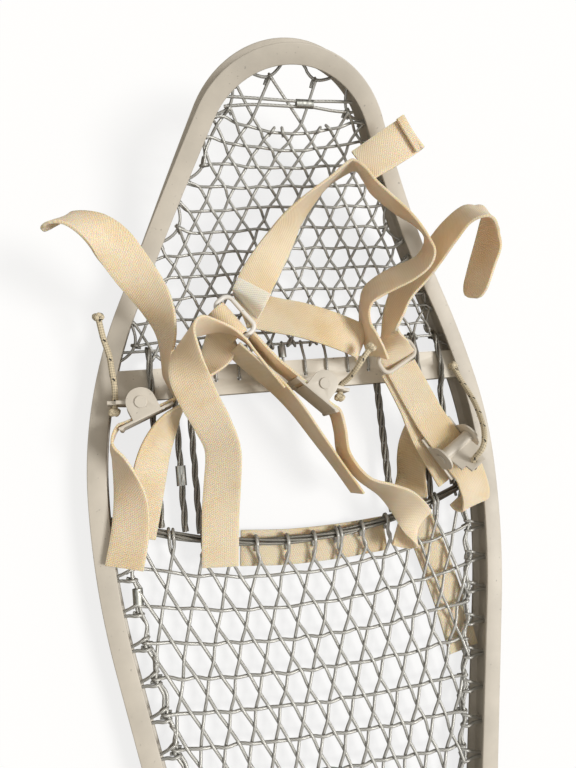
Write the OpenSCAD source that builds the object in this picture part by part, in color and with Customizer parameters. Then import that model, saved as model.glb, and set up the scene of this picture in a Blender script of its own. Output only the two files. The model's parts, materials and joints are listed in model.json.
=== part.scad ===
// Trail snowshoe: bent I-section rail with an upturned toe, cable nets and a webbing binding.
// +Y points to the toe, +Z is up, and the rail's flat underside lies at Z = 0.

/* [Frame] */
// Overall length, tail to the tip of the toe
overall_len = 1295; // [1150:5:1450]
// Overall width at the belly
overall_w = 305; // [285:1:325]
// Height of the rail's I-section
rail_h = 22.2; // [20:0.1:25]
// Width of the rail's flanges
flange_w = 12.7; // [11:0.1:15]
// Thickness of a flange at its edge
flange_t = 2.2; // [1.6:0.1:3]
// Extra thickness of a flange where it meets the web
flange_root = 1; // [0:0.1:1.5]
// Thickness of the rail's web
web_t = 3.2; // [2.4:0.1:4]
// Outer radius of the toe, before it is turned up
toe_r = 72; // [66:1:78]
// Angle of the flaring sides behind the toe
flare_deg = 25; // [22:0.5:28]
// Radius of the belly in front of the widest place
belly_front_r = 310; // [260:5:360]
// Radius of the belly behind the widest place
belly_rear_r = 595; // [450:5:700]
// Angle of the tapering sides
taper_deg = 11; // [10.5:0.1:12]
// Radius of the sweep into the tail
tail_sweep_r = 1500; // [1200:10:1700]
// Gap between the two rails at the tail
tail_gap = 14.6; // [12:0.1:18]
// Radius of the upturned toe, at the rail's top
bend_r = 300; // [280:5:330]
// Angle that the toe is turned up
bend_deg = 44.5; // [40:0.5:48]

/* [Crossbars] */
// Width of a crossbar
bar_w = 22; // [18:0.5:26]
// Wall of a crossbar's channel
bar_t = 2.4; // [2:0.1:3]
// Depth of a crossbar's channel
bar_d = 8; // [6:0.5:10]
// Height of a crossbar's top face
bar_top = 14; // [12:0.2:16]
// Distance of the toe crossbar in front of the place where the toe starts to turn up
bar_ahead = 10; // [4:1:20]
// Pitch of the lacing holes in the toe crossbar
bar_hole_pitch = 17; // [14:0.5:20]
// Number of lacing holes on each side of the toe crossbar
bar_holes = 6; // [4:1:6]
// Diameter of a lacing hole
bar_hole_d = 3; // [2.8:0.1:4]
// Distance between the two crossbars
bar_span = 662; // [620:2:700]

/* [Tail] */
// Length of the spacer block between the rails
spacer_len = 60; // [40:1:80]
// Diameter of a tail rivet
rivet_d = 5; // [4:0.1:6]
// Number of tail rivets
rivet_count = 3; // [2:1:4]

/* [Lacing] */
// Diameter of the coated lacing cable
cable_d = 2.5; // [2:0.1:3]
// Play between cables that cross
cable_play = 0.1; // [0.1:0.05:0.4]
// Height of the nets' middle layer
net_h = 11.1; // [10:0.1:12]
// Pitch of the toe net
toe_pitch = 17; // [15:0.5:22]
// Pitch of the body net
body_pitch = 30; // [26:1:36]
// Pitch of the tail net
tail_pitch = 26; // [22:1:32]
// Distance of the selvedge cables from the rail's web
selvedge_gap = 8; // [6:0.5:10]
// Pitch of the ties that hold the selvedge to the web in the toe
toe_tie_pitch = 44; // [36:1:52]
// Pitch of the ties along the body
body_tie_pitch = 50; // [40:1:60]
// Length of the toe hole, between the toe crossbar and the middle of the master cord
hole_len = 110; // [100:1:118]
// Forward bow of the master cord at the belly's edge
cord_bow = 35; // [25:1:45]

/* [Binding] */
// Width of the webbing
strap_w = 25.4; // [24:0.1:26]
// Thickness of the webbing
strap_t = 2; // [1.6:0.1:2.2]
// Diameter of the lanyards
lanyard_d = 4; // [3.4:0.1:4.2]
// Diameter of a lanyard's knot
knot_d = 8.4; // [7.6:0.2:9]
// Diameter of the wire in the slide loop and the ring
wire_d = 3.4; // [3:0.1:4]

/* [Cam buckles] */
// Width of a buckle over its ears
buckle_w = 30; // [29.5:0.1:32]
// Thickness of a buckle's sheet
buckle_t = 1.6; // [1.2:0.1:2]
// Length of a buckle's base plate
buckle_len = 36; // [32:0.5:42]
// Radius of an ear round its pin
ear_r = 9.5; // [8:0.1:11]
// Diameter of the hinge pin
pin_d = 5; // [4:0.1:5.6]
// Running clearance of the lever on its pin, on the radius
pin_play = 0.05; // [0.02:0.01:0.1]
// Distance of the pin from the base plate
pin_lift = 8.6; // [8.2:0.1:10]
// Length of a lever's handle, from its pin
lever_len = 21; // [18:0.5:26]
// Thickness of a lever's handle
lever_t = 2.2; // [1.8:0.1:3]

/* [Hidden] */
$fn = 48;
gap = 0.3;

// Colours of the object's materials
paint = "#d8cfc0";
steel = "#8c8c84";
web_cream = "#e6cda4";
cord_cream = "#ddd0b4";

// The rail's outline in the flat, before the toe is turned up: v runs along the shoe
half_w = overall_w / 2;
tail_hw = flange_w + tail_gap / 2;
bend_base_r = bend_r + rail_h;
bend_v = overall_len / 2 - bend_base_r * sin(bend_deg);
toe_v = bend_v + bend_r * bend_deg * PI / 180;
flare_x = toe_r * cos(flare_deg);
flare_v = toe_v - toe_r * (1 - sin(flare_deg));
flare_len = (half_w - flare_x - belly_front_r * (1 - cos(flare_deg))) / sin(flare_deg);
belly_v = flare_v - flare_len * cos(flare_deg) - belly_front_r * sin(flare_deg);
sweep_x = tail_hw + tail_sweep_r * (1 - cos(taper_deg));
taper_x = half_w - belly_rear_r * (1 - cos(taper_deg));
sweep_v = belly_v - belly_rear_r * sin(taper_deg) - (taper_x - sweep_x) / tan(taper_deg)
    - tail_sweep_r * sin(taper_deg);
tail_v = -overall_len / 2;
// Turn still left in the sweep at the tail's end, on a shoe too short for a parallel tail
tail_turn = asin(max(0, tail_v - sweep_v) / tail_sweep_r);
toe_steps = 9;
flare_steps = 8;
belly_steps = 7;
rear_steps = 4;
sweep_steps = 5;

// Stations of the right-hand side, tip to tail: [x, v, outward x, outward v]
side = concat(
    [for (i = [0:toe_steps]) let (a = (90 - flare_deg) * i / toe_steps)
        [toe_r * sin(a), toe_v - toe_r * (1 - cos(a)), sin(a), cos(a)]],
    [for (i = [1:flare_steps]) let (k = flare_len * i / flare_steps)
        [flare_x + k * sin(flare_deg), flare_v - k * cos(flare_deg), cos(flare_deg), sin(flare_deg)]],
    [for (i = [1:belly_steps]) let (a = flare_deg * (1 - i / belly_steps))
        [half_w - belly_front_r * (1 - cos(a)), belly_v + belly_front_r * sin(a), cos(a), sin(a)]],
    [for (i = [1:rear_steps]) let (a = taper_deg * i / rear_steps)
        [half_w - belly_rear_r * (1 - cos(a)), belly_v - belly_rear_r * sin(a), cos(a), -sin(a)]],
    [for (i = [0:sweep_steps]) let (a = tail_turn + (taper_deg - tail_turn) * (1 - i / sweep_steps))
        [tail_hw + tail_sweep_r * (1 - cos(a)), sweep_v + tail_sweep_r * sin(a), cos(a), -sin(a)]],
    tail_turn > 0 ? [] : [[tail_hw, tail_v, 1, 0]]
);
last = len(side) - 1;

// Places that the other pieces take from the rail
web_in = flange_w / 2 + web_t / 2;
bar_y = bend_v + bar_ahead;
rear_bar_y = bar_y - bar_span;
cord_y = bar_y - bar_w / 2 - hole_len;
selvedge_in = web_in + selvedge_gap;
layer = cable_d + cable_play;
cable_r = cable_d / 2;
// Distances of the bridles from the rail's outer edge at the belly
left_bridle_in = [46.5, 62.5, 72.5];
right_bridle_in = [86.5, 52.5, 32.5];

// Buckle places beside the toe crossbar: [x, y, z] of the pin, and the strap's direction
left_pin = [-114, -16, 16];
left_turn = 22;
mid_pin = [10, -13, 16];
mid_turn = -44;
right_pin = [107, -66, 24];
right_turn = -58;
left_lift = 27;
mid_lift = 30;
right_lift = 35;
slide_at = [-46, 40, 18];
slide_turn = -53;
ring_at = [73, 5, 16];
ring_turn = 29;
loop_in = strap_w + 2;

// The webbing's middle under a buckle's cam, a distance t along the strap
seat = pin_lift - gap - strap_t / 2;
function left_run(t) = [left_pin[0] + t * cos(left_turn) + seat * sin(left_turn),
    left_pin[1] + t * sin(left_turn) - seat * cos(left_turn), left_pin[2], 0, 90];
back_gap = strap_t + buckle_t + 3.5 * gap;
function left_back(t) = left_run(t) - back_gap * [-sin(left_turn), cos(left_turn), 0, 0, 0] - [0, 0, 0, 0, 180];
function mid_run(t) = [mid_pin[0] + t * cos(mid_turn) + seat * sin(mid_turn),
    mid_pin[1] + t * sin(mid_turn) - seat * cos(mid_turn), mid_pin[2], 0, -90];
function right_run(t) = [right_pin[0] + t * cos(right_turn), right_pin[1] + t * sin(right_turn),
    right_pin[2] - seat, right_turn + 90, 0];

// Routes of the webbing beside the toe crossbar: [x, y, z, heading of its width, tilt of its width]
left_tail_route = [[-90.62, -13.41, 16, 105, -82], [-93.39, -6.66, 17.5, 111, -75],
    [-95.6, -0.3, 20, 116, -71], [-96, 8.7, 23, 116, -69], [-95.3, 20, 27, 128, -61],
    [-96.2, 31.5, 33, 152, -51], [-99.6, 42.7, 39, 176, -39], [-105.2, 52.7, 46, -166, -27],
    [-114, 63.8, 56, -150, -12], [-121.8, 73.7, 64, -140, -3], [-129.5, 81, 70, -119, 18],
    [-137.9, 85.9, 73, -109, 38], [-146.6, 88.5, 72, -118, 45]];
hanging_route = [[-50.5, 36, 21.8, 127, 0], [-57, 32, 24, 110, 34], [-66, 30.5, 31.5, 60, 66],
    [-79, 26.8, 43, 46, 51], [-85, 18, 54, 40, 56], [-85.4, 7, 56, 2, 48], [-83.4, -6.8, 50.5, 10, 18],
    [-77, -20.7, 40, 16, 18], [-69.7, -34.1, 30, 11, 21], [-63, -52, 19.5, -4, 24],
    [-65, -76, 14, -10, 17], [-67, -94, 9, -7, 6], [-68, -113, 2, -4, 4], [-69, -131, -4, -5, 5]];
instep_route = [[-41, 44, 14.4, -54, 0], [-30, 43, 14.8, -84, 0], [-16, 39, 19, -104, 0],
    [0, 34, 24, -108, 0], [19, 27, 25, -110, 0], [34, 22, 21, -114, 0], [46, 18, 14, -124, 0],
    [55, 14, 10.4, -140, 0], [63, 10, 10, -148, 0]];
heel_route = [[-40.5, 44.5, 21.6, -32, 7], [-35, 54, 25, -31, 2], [-28, 66, 29, -31, -11],
    [-14, 86, 34, -23, -35], [-5, 99, 41, -9, -51], [7, 111, 48, 7, -65], [22, 123, 55, 40, -72],
    [37, 132, 60, 59, -67], [50, 128, 63, 48, -49], [64, 114, 64, 44, -41], [79, 97, 63.2, 37, -39],
    [86, 82, 63.2, 21, -43], [85, 71, 59.2, 4, -46], [76, 63, 52.2, -18, -47], [63, 58, 43.2, -20, -45],
    [55.5, 50, 37, -6, -45], [54.5, 40, 36, 9, -45], [59, 29, 35, 32, -46], [65, 19, 34, 52, -51],
    [70, 12.5, 33, 62, -59]];
heel_tab_route = [[46.4, 130.6, 68.87, -67, 12], [53.4, 134.3, 70.47, -62, 6],
    [62.6, 139.6, 72, -58, -1], [72.1, 145.2, 72.6, -57, -7]];
right_tail_route = [[75, 13.5, 12.5, 29, 0], [77, 23, 14, 8, -8], [79.5, 36, 17, -2, -26],
    [84.6, 52, 23, -7, -35], [96, 69.5, 32, -23, -15], [104, 78.4, 45, -31, -3],
    [108.6, 86.7, 58, -42, 6], [113, 93.3, 70, -67, 6], [121, 94.8, 76.5, -98, 16],
    [132, 91.3, 73, -102, 31], [137.8, 83.3, 64, -78, 52], [136, 70, 56, -40, 44],
    [131.4, 55.6, 50.5, -35, 37], [125.2, 42, 46.5, -38, 40]];
left_strap_route = [left_run(21), left_run(12), left_run(-12), left_run(-20), [-134, -41, 16, 0, 86],
    [-130, -52, 15, 0, 68], [-127, -64, 13, -5, 50], [-125, -80, 11, -6, 30], [-127, -100, 9, -12, 18],
    [-132, -121, 7, -20, 12]];
left_anchor_route = [left_back(17), left_back(9), [-107, -35, 13, -3, -72], [-111, -48, 8, -2, -44],
    [-114, -63, 1, -4, -18], [-117, -82, -5.5, -8, -4], [-119, -101, -7.2, -10, 0]];
toe_strap_route = [[-44.5, 23.6, 16.5, 0, -90], [-34, 4, 17, 0, -90], [-14, -28, 17, 0, -90],
    [3, -52, 17, 0, -90], [18, -76, 17, 0, -90], [29, -94, 17, 0, -90]];
toe_inner_route = [[-35.9, 25.5, 16, 0, -90], mid_run(-36), mid_run(-24), mid_run(-12), mid_run(12),
    mid_run(21), [22, -46, 16.5, 0, -90], [23, -63, 17, 0, -90], [32, -79, 17, -40, -88],
    [45, -87, 16, -52, -76], [58, -94, 15, -77, -64], [69, -104, 13, -96, -52], [74, -116, 9, -50, -32],
    [71, -127, 1, -42, -8], [61, -135, -5.8, -50, 0]];
right_strap_route = [[76.5, -2, 13, 29, 0], [81, -14, 14.5, 31, 0], [87, -30, 16.5, 32, 0], right_run(-24),
    right_run(-12), right_run(12), right_run(21), [121, -89, 15, 28, 0], [126, -102, 9, 18, -2],
    [129, -119, 1.4, 12, 0]];
under_strap_route = [[-52, -122, -16.3, -90, 0], [-15, -126, -16.3, -90, 0], [24, -127, -16.3, -90, 0],
    [60, -126, -16.3, -90, 0]];
// The drop strap's flat end lies between the rail's flanges, a little way from the web
drop_side = 1.3;
drop_end = -221;
drop_bend = 86;
drop_x = half_at(web_in, bar_y + drop_end) - strap_w / 2 - drop_side;
function drop_at(share, y, turn) = [drop_bend + (drop_x - drop_bend) * share, y, -16.3, turn, 0];
drop_strap_route = [[92, -47, 12, -4, 0], [88, -61, 8, -4, -4], [85, -74, 0, 0, -8], [83.5, -86, -9, 0, -6],
    [83.5, -98, -15, 0, 0], drop_at(0, -109, -4), drop_at(0.26, -132, -10), drop_at(0.56, -162, -12),
    drop_at(0.81, -192, -12), drop_at(1, drop_end, -10)];

// Eyes in the levers' handles, and the way a lanyard goes through each
eye_d = lanyard_d + 2 * gap;
eye_reach = lever_len - eye_d / 2 - lever_t;
left_aim = left_turn + 180 - left_lift;
left_eye = left_pin + eye_reach * [cos(left_aim), sin(left_aim), 0];
left_eye_axis = [sin(left_aim), -cos(left_aim), 0];
mid_aim = mid_turn + mid_lift;
mid_eye = mid_pin + eye_reach * [cos(mid_aim), sin(mid_aim), 0];
mid_eye_axis = [-sin(mid_aim), cos(mid_aim), 0];
right_way = [cos(right_turn), sin(right_turn), 0];
right_eye = right_pin + eye_reach * (cos(right_lift) * right_way + sin(right_lift) * [0, 0, 1]);
right_eye_axis = cos(right_lift) * [0, 0, 1] - sin(right_lift) * right_way;
function through_eye(eye, way) = [eye - 3 * way, eye, eye + 4 * way];

// Routes of the lanyards beside the toe crossbar, from the lever to the free end
left_lanyard = concat(through_eye(left_eye, left_eye_axis), [[-130, -2, 16], [-131, 8, 15], [-132, 18, 13],
    [-135, 30, 13], [-137, 42, 15]]);
mid_lanyard = concat(through_eye(mid_eye, mid_eye_axis), [[32, -9, 21], [36, -3, 29], [40.5, 3.6, 32.5],
    [44.5, 8, 33]]);
right_lanyard = concat(through_eye(right_eye, right_eye_axis), [[117, -68, 43], [123, -58, 38],
    [128, -46, 28], [130, -32, 18], [128, -18, 10], [125, -6, 6]]);

// Turns a point of the flat pattern, at height h, up with the toe
function rolled(x, v, h) =
    v <= bend_v ? [x, v, h] :
    let (a = (v - bend_v) / bend_r * 180 / PI)
    [x, bend_v + (bend_base_r - h) * sin(a), bend_base_r - (bend_base_r - h) * cos(a)];

// The direction square to the flat pattern there
function rolled_up(v) = let (a = max(0, v - bend_v) / bend_r * 180 / PI) [0, -sin(a), cos(a)];

function unit(a) = a / norm(a);

// Half the inside width of the frame, at an inset from its outer edge
function half_at(inset, v) =
    lookup(v, [for (i = [last:-1:0]) [side[i][1] - inset * side[i][3], side[i][0] - inset * side[i][2]]]);

// Points of the right-hand side at an inset, between two places along the shoe, front to rear
function side_points(inset, front, rear) = concat(
    [[half_at(inset, front), front]],
    [for (s = side) let (v = s[1] - inset * s[3]) if (v < front && v > rear) [s[0] - inset * s[2], v]],
    [[half_at(inset, rear), rear]]
);

function mirrored(points) = [for (i = [len(points) - 1:-1:0]) [-points[i][0], points[i][1]]];

// A smooth curve through the points of a route, with a number of steps in each stretch
function curve(p, steps) = let (n = len(p) - 1) concat(
    [for (i = [0:n - 1], k = [0:steps - 1]) let (
        t = k / steps,
        a = i == 0 ? 2 * p[0] - p[1] : p[i - 1],
        d = i == n - 1 ? 2 * p[n] - p[n - 1] : p[i + 2])
        0.5 * (2 * p[i] + (p[i + 1] - a) * t + (2 * a - 5 * p[i] + 4 * p[i + 1] - d) * t * t
            + (3 * p[i] - a - 3 * p[i + 1] + d) * t * t * t)],
    [p[n]]);

// The space between the two sides at an inset, between two places along the shoe. Past the place where the
// sides start to sweep into the tail, the taper carries straight on, so that the outline stays convex.
function panel(inset, front, rear) = let (
    sweep_start = sweep_v + tail_sweep_r * sin(taper_deg) + inset * sin(taper_deg),
    stop = max(rear, sweep_start),
    right = side_points(inset, front, stop))
    concat(
        rear < stop ? [[half_at(inset, stop) - (stop - rear) * tan(taper_deg), rear]] : [],
        [for (i = [len(right) - 1:-1:0]) right[i]]);

function whole_panel(inset, front, rear) = let (right = panel(inset, front, rear))
    concat(right, mirrored(right));

// The stretch of a line through p, along d, that lies inside a convex outline
function clipped(p, d, outline) = let (
    n = len(outline),
    edges = [for (i = [0:n - 1]) let (a = outline[i], e = outline[(i + 1) % n] - a) [a, [-e[1], e[0]]]],
    cuts = [for (e = edges) let (f = (p - e[0]) * e[1], g = d * e[1]) if (abs(g) > 0.001) [-f / g, g]],
    beyond = [for (e = edges) if (abs(d * e[1]) <= 0.001 && (p - e[0]) * e[1] < 0) e],
    starts = [for (c = cuts) if (c[1] > 0) c[0]],
    ends = [for (c = cuts) if (c[1] < 0) c[0]])
    len(beyond) > 0 ? [0, -1] : [max(starts), min(ends)];

// The lines of a three-way net inside a convex outline: [family, start, end]
function net_lines(straight, slanting, pitch, middle, reach, shortest) =
    [for (family = [0:2], k = [-reach:reach - 1]) let (
        a = family * 60,
        d = [cos(a), sin(a)],
        p = middle + (k + 0.5) * pitch * [-sin(a), cos(a)],
        t = clipped(p, d, family == 0 ? straight : slanting))
        if (t[1] - t[0] > shortest) [family, p + t[0] * d, p + t[1] * d]];

// A solid through rings of points, closed by whole rings or by the convex parts of one
module skinned(rings, parts = []) {
    n = len(rings[0]);
    m = len(rings);
    walls = [for (j = [0:m - 2], i = [0:n - 1]) let (
        a = j * n + i,
        b = j * n + (i + 1) % n) each [[a, b, a + n], [b, b + n, a + n]]];
    ends = len(parts) > 0 ? parts : [[for (i = [0:n - 1]) i]];
    caps = [for (e = ends) each [[for (k = [len(e) - 1:-1:0]) e[k]], [for (k = e) (m - 1) * n + k]]];
    polyhedron([for (r = rings) each r], concat(walls, caps));
}

// A round cable along a path, with up as a direction square to it
module cable(path, d, up, sides = 6) {
    n = len(path) - 1;
    rings = [for (i = [0:n]) let (
        t = unit(path[min(n, i + 1)] - path[max(0, i - 1)]),
        s = unit(cross(t, up)),
        u = cross(s, t))
        [for (k = [0:sides - 1]) let (a = k * 360 / sides) path[i] + d / 2 * (cos(a) * s + sin(a) * u)]];
    skinned(rings);
}

// A straight round bar between two points
module rod(a, b, d) {
    e = b - a;
    translate(a)
        rotate([0, acos(e[2] / norm(e)), atan2(e[1], e[0])])
            cylinder(h = norm(e), d = d);
}

// A strip of webbing along a route
module webbing(route, steps = 3) {
    places = curve([for (p = route) [p[0], p[1], p[2]]], steps);
    across = curve([for (p = route) [cos(p[3]) * cos(p[4]), sin(p[3]) * cos(p[4]), sin(p[4])]], steps);
    n = len(places) - 1;
    rings = [for (i = [0:n]) let (
        t = unit(places[min(n, i + 1)] - places[max(0, i - 1)]),
        w = unit(across[i] - (across[i] * t) * t) * strap_w / 2,
        f = unit(cross(t, w)) * strap_t / 2,
        c = places[i])
        [c - w + f, c + w + f, c + w - f, c - w - f]];
    color(web_cream)
        at_binding()
            skinned(rings);
}

// The binding's own place: on the shoe's middle line, over the toe crossbar, level with the rail's top
module at_binding() {
    translate([0, bar_y, rail_h])
        children();
}

module frame_rail() {
    web_out = flange_w / 2 - web_t / 2;
    root_t = flange_t + flange_root;
    section = [[flange_w, 0], [flange_w, flange_t], [web_in, root_t], [web_in, rail_h - root_t],
        [flange_w, rail_h - flange_t], [flange_w, rail_h], [0, rail_h], [0, rail_h - flange_t],
        [web_out, rail_h - root_t], [web_out, root_t], [0, flange_t], [0, 0]];
    loop = concat(
        [for (i = [last:-1:1]) let (s = side[i]) [-s[0], s[1], -s[2], s[3]]],
        side);
    rings = [for (s = loop)
        [for (q = section) rolled(s[0] - q[0] * s[2], s[1] - q[0] * s[3], q[1])]];
    color(paint)
        difference() {
            skinned(rings, [[0, 1, 2, 9, 10, 11], [2, 3, 8, 9], [3, 4, 5, 6, 7, 8]]);
            tail_rivet_places()
                rotate([0, 90, 0])
                    cylinder(h = 4 * tail_hw, d = rivet_d, center = true);
        }
}

// The outline between the rail's two webs, over a stretch of the shoe
module between_webs(front, rear) {
    right = side_points(web_in, front, rear);
    polygon(concat(right, mirrored(right)));
}

// A channel across the frame, open below
module crossbar(y) {
    color(paint)
        intersection() {
            translate([-half_w, y - bar_w / 2, bar_top - bar_d])
                difference() {
                    cube([overall_w, bar_w, bar_d]);
                    translate([-1, bar_t, -bar_t])
                        cube([overall_w + 2, bar_w - 2 * bar_t, bar_d]);
                }
            linear_extrude(rail_h)
                between_webs(y + bar_w, y - bar_w);
        }
}

module toe_crossbar() {
    color(paint)
        difference() {
            crossbar(bar_y);
            for (i = [-bar_holes:bar_holes - 1])
                translate([(i + 0.5) * bar_hole_pitch, bar_y, 0])
                    cylinder(h = rail_h, d = bar_hole_d);
        }
}

module rear_crossbar() {
    crossbar(rear_bar_y);
}

module tail_rivet_places() {
    pitch = spacer_len / rivet_count;
    for (i = [0:rivet_count - 1])
        translate([0, tail_v + (i + 0.5) * pitch, rail_h / 2])
            children();
}

module tail_spacer() {
    root_t = flange_t + flange_root;
    color(paint)
        difference() {
            translate([0, 0, root_t])
                linear_extrude(rail_h - 2 * root_t)
                    between_webs(tail_v + spacer_len, tail_v);
            tail_rivet_places()
                rotate([0, 90, 0])
                    cylinder(h = 4 * tail_hw, d = rivet_d, center = true);
        }
}

module tail_rivets() {
    head_t = rivet_d / 4;
    head_d = 1.7 * rivet_d;
    // Outside of the web where the frontmost head lies
    front_head = tail_v + spacer_len - spacer_len / rivet_count / 2 + head_d / 2;
    web_out = half_at(flange_w / 2 - web_t / 2, front_head);
    color(paint)
        tail_rivet_places()
            rotate([0, 90, 0])
                union() {
                    cylinder(h = 2 * web_out, d = rivet_d, center = true);
                    for (s = [-1, 1])
                        translate([0, 0, s * (web_out + head_t / 2)])
                            cylinder(h = head_t, d = head_d, center = true);
                }
}

// The selvedge's path on the right, between two places along the shoe
function selvedge_points(front, rear) =
    [for (p = side_points(selvedge_in, front, rear)) rolled(p[0], p[1], net_h)];

module toe_selvedge() {
    rear = bar_y + bar_w / 2 + gap;
    right = side_points(selvedge_in, toe_v - selvedge_in, rear);
    whole = concat(mirrored(right), [for (i = [1:len(right) - 1]) right[i]]);
    n = len(whole) - 1;
    rings = [for (i = [0:n]) let (
        q = [for (k = [max(0, i - 1), i, min(n, i + 1)]) rolled(whole[k][0], whole[k][1], net_h)],
        u = rolled_up(whole[i][1]),
        s = unit(cross(q[2] - q[0], u)))
        [for (k = [0:5]) q[1] + cable_r * (cos(60 * k) * s + sin(60 * k) * u)]];
    color(steel)
        skinned(rings);
}

// Pairs of short wires from the selvedge to the web, along one stretch of both sides
module ties(front, rear, pitch) {
    count = floor((front - rear) / pitch);
    first = (front + rear - (count - 1) * pitch) / 2;
    apart = 1.6 * cable_d;
    color(steel)
        for (i = [0:count - 1], s = [-1, 1], k = [-0.5, 0.5]) {
            v = first + i * pitch + k * apart;
            x = half_at(selvedge_in, v);
            out = unit([2, half_at(selvedge_in, v - 1) - half_at(selvedge_in, v + 1)]);
            near = cable_r + cable_play;
            far = selvedge_gap - cable_play;
            a = rolled(s * (x + near * out[0]), v + near * out[1], net_h);
            b = rolled(s * (x + far * out[0]), v + far * out[1], net_h);
            rod(a, b, cable_d);
        }
}

module toe_ties() {
    ties(flare_v, bar_y + bar_w, toe_tie_pitch);
}

module body_ties() {
    ties(cord_y - bar_w, rear_bar_y + bar_w, body_tie_pitch);
}

// Height of a net line's layer: the three families lie one over another
function layer_h(family) = net_h + [0, 1, -1][family] * layer;

module toe_net() {
    rear = bar_y + bar_w / 2 + gap + cable_d / 3;
    straight = whole_panel(selvedge_in + 1.2 * cable_d, toe_v - selvedge_in - 4 * cable_d, rear);
    slanting = whole_panel(selvedge_in - cable_r, toe_v - selvedge_in + cable_r, rear);
    lines = net_lines(straight, slanting, toe_pitch, [0, (toe_v + rear) / 2], 14, 2 * toe_pitch);
    color(steel)
        for (l = lines) {
            steps = ceil(norm(l[2] - l[1]) / 24);
            path = [for (i = [0:steps]) let (p = l[1] + (l[2] - l[1]) * i / steps)
                rolled(p[0], p[1], layer_h(l[0]))];
            if (l[0] == 0)
                rod(path[0], path[steps], cable_d);
            else
                cable(path, cable_d, rolled_up((l[1][1] + l[2][1]) / 2));
        }
}

module body_selvedge() {
    right = selvedge_points(cord_y + cord_bow / 2, rear_bar_y + bar_w / 2 + gap);
    color(steel)
        for (s = [-1, 1])
            cable([for (p = right) [s * p[0], p[1], p[2]]], cable_d, [0, 0, 1]);
}

// Bows a point of the body net forwards at the sides, as the master cord draws it
function bowed(p) = let (k = (p[1] - rear_bar_y) / (cord_y - rear_bar_y))
    [p[0], p[1] + cord_bow * pow(p[0] / half_w, 2) * max(0, k)];

module body_net() {
    front = cord_y - 2 * cable_d;
    rear = rear_bar_y + bar_w / 2 + gap + cable_d / 3;
    straight = whole_panel(selvedge_in + 0.7 * cable_d, front, rear);
    slanting = whole_panel(selvedge_in - cable_r, front, rear);
    // From this middle, a cable of each slanting family meets a front corner
    middle = front - half_at(selvedge_in - cable_r, front) * sqrt(3) - body_pitch;
    lines = net_lines(straight, slanting, body_pitch, [0, middle], 24, body_pitch);
    color(steel)
        for (l = lines) {
            steps = 4;
            path = [for (i = [0:steps]) let (p = bowed(l[1] + (l[2] - l[1]) * i / steps))
                [p[0], p[1], layer_h(l[0])]];
            cable(path, cable_d, [0, 0, 1]);
        }
}

module tail_net() {
    front = rear_bar_y - bar_w / 2 - gap - cable_d / 3;
    rear = sweep_v + 2.5 * spacer_len;
    middle = (front + rear) / 2;
    half = half_at(web_in + cable_r, middle);
    slope = (half_at(web_in, middle + 20) - half_at(web_in, middle - 20)) / 40;
    wide = half + slope * (front - middle);
    narrow = half + slope * (rear - middle);
    outline = [[-wide, front], [-narrow, rear], [narrow, rear], [wide, front]];
    lines = net_lines(outline, outline, tail_pitch, [0, middle], 10, 0.8 * tail_pitch);
    color(steel)
        for (l = lines)
            rod([l[1][0], l[1][1], layer_h(l[0])], [l[2][0], l[2][1], layer_h(l[0])], cable_d);
}

// Middle line of the master cord
function cord_at(x) = cord_y + cord_bow * pow(x / half_w, 2);

module master_cord() {
    reach = half_at(web_in, cord_y) - cable_play;
    steps = 16;
    color(steel)
        for (i = [-0.5, 0.5], j = [-0.5, 0.5])
            cable([for (k = [0:steps]) let (x = reach * (2 * k / steps - 1))
                [x, cord_at(x) + 1.15 * i * layer, net_h + j * layer]], cable_d, [0, 0, 1]);
}

// A pair of cables from the toe crossbar to the master cord
module bridle(x_front, x_rear) {
    for (k = [-0.5, 0.5]) {
        a = [x_front + k * layer, bar_y - bar_w / 2 - cable_play, net_h];
        b = [x_rear + k * layer, cord_at(x_rear) + layer + cable_r, net_h];
        rod(a, b, cable_d);
    }
}

module left_bridles() {
    color(steel)
        for (d = left_bridle_in)
            bridle(d - half_w, d - half_w);
}

module right_bridles() {
    color(steel)
        for (d = right_bridle_in)
            bridle(half_w - d, half_w - d);
}

// Flat sleeves crimped over the outer bridles
module crimp_sleeves() {
    sleeve_len = 14;
    wall = 1;
    color("#9a9a94")
        for (x = [left_bridle_in[0] - half_w, left_bridle_in[1] - half_w, half_w - right_bridle_in[1],
            half_w - right_bridle_in[2]])
            translate([x, bar_y - bar_w / 2 - hole_len / 2, net_h])
                rotate([90, 0, 0])
                    linear_extrude(sleeve_len, center = true)
                        difference() {
                            union() {
                                square([layer, cable_d + 2 * wall], center = true);
                                for (k = [-0.5, 0.5])
                                    translate([k * layer, 0])
                                        circle(d = cable_d + 2 * wall);
                            }
                            for (k = [-0.5, 0.5])
                                translate([k * layer, 0])
                                    circle(d = cable_d);
                        }
}

// A cam buckle's bracket round its pin, which lies along Z; the strap runs along X under it
module bracket() {
    ear_z = buckle_w / 2 - buckle_t;
    slot = 3;
    color(paint)
        difference() {
            union() {
                translate([-buckle_len / 2, -pin_lift - buckle_t, -buckle_w / 2])
                    cube([buckle_len, buckle_t, buckle_w]);
                translate([-buckle_len / 2, -pin_lift - buckle_t / 2, 0])
                    cylinder(h = buckle_w, d = 2 * buckle_t, center = true);
                for (s = [-1, 1])
                    translate([0, 0, s * (ear_z + buckle_t / 2)])
                        linear_extrude(buckle_t, center = true) {
                            circle(r = ear_r);
                            translate([-ear_r, -pin_lift - buckle_t])
                                square([2 * ear_r, pin_lift + buckle_t]);
                        }
            }
            cylinder(h = 2 * buckle_w, d = pin_d, center = true);
            translate([buckle_len / 2 - 2.5 * slot, -pin_lift - 2 * buckle_t, -strap_w / 2])
                cube([slot, 3 * buckle_t, strap_w]);
            translate([-buckle_len / 2 - 2 * buckle_t, -pin_lift, -buckle_w])
                cube([3 * buckle_t, 3 * buckle_t, 2 * buckle_w]);
        }
}

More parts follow.
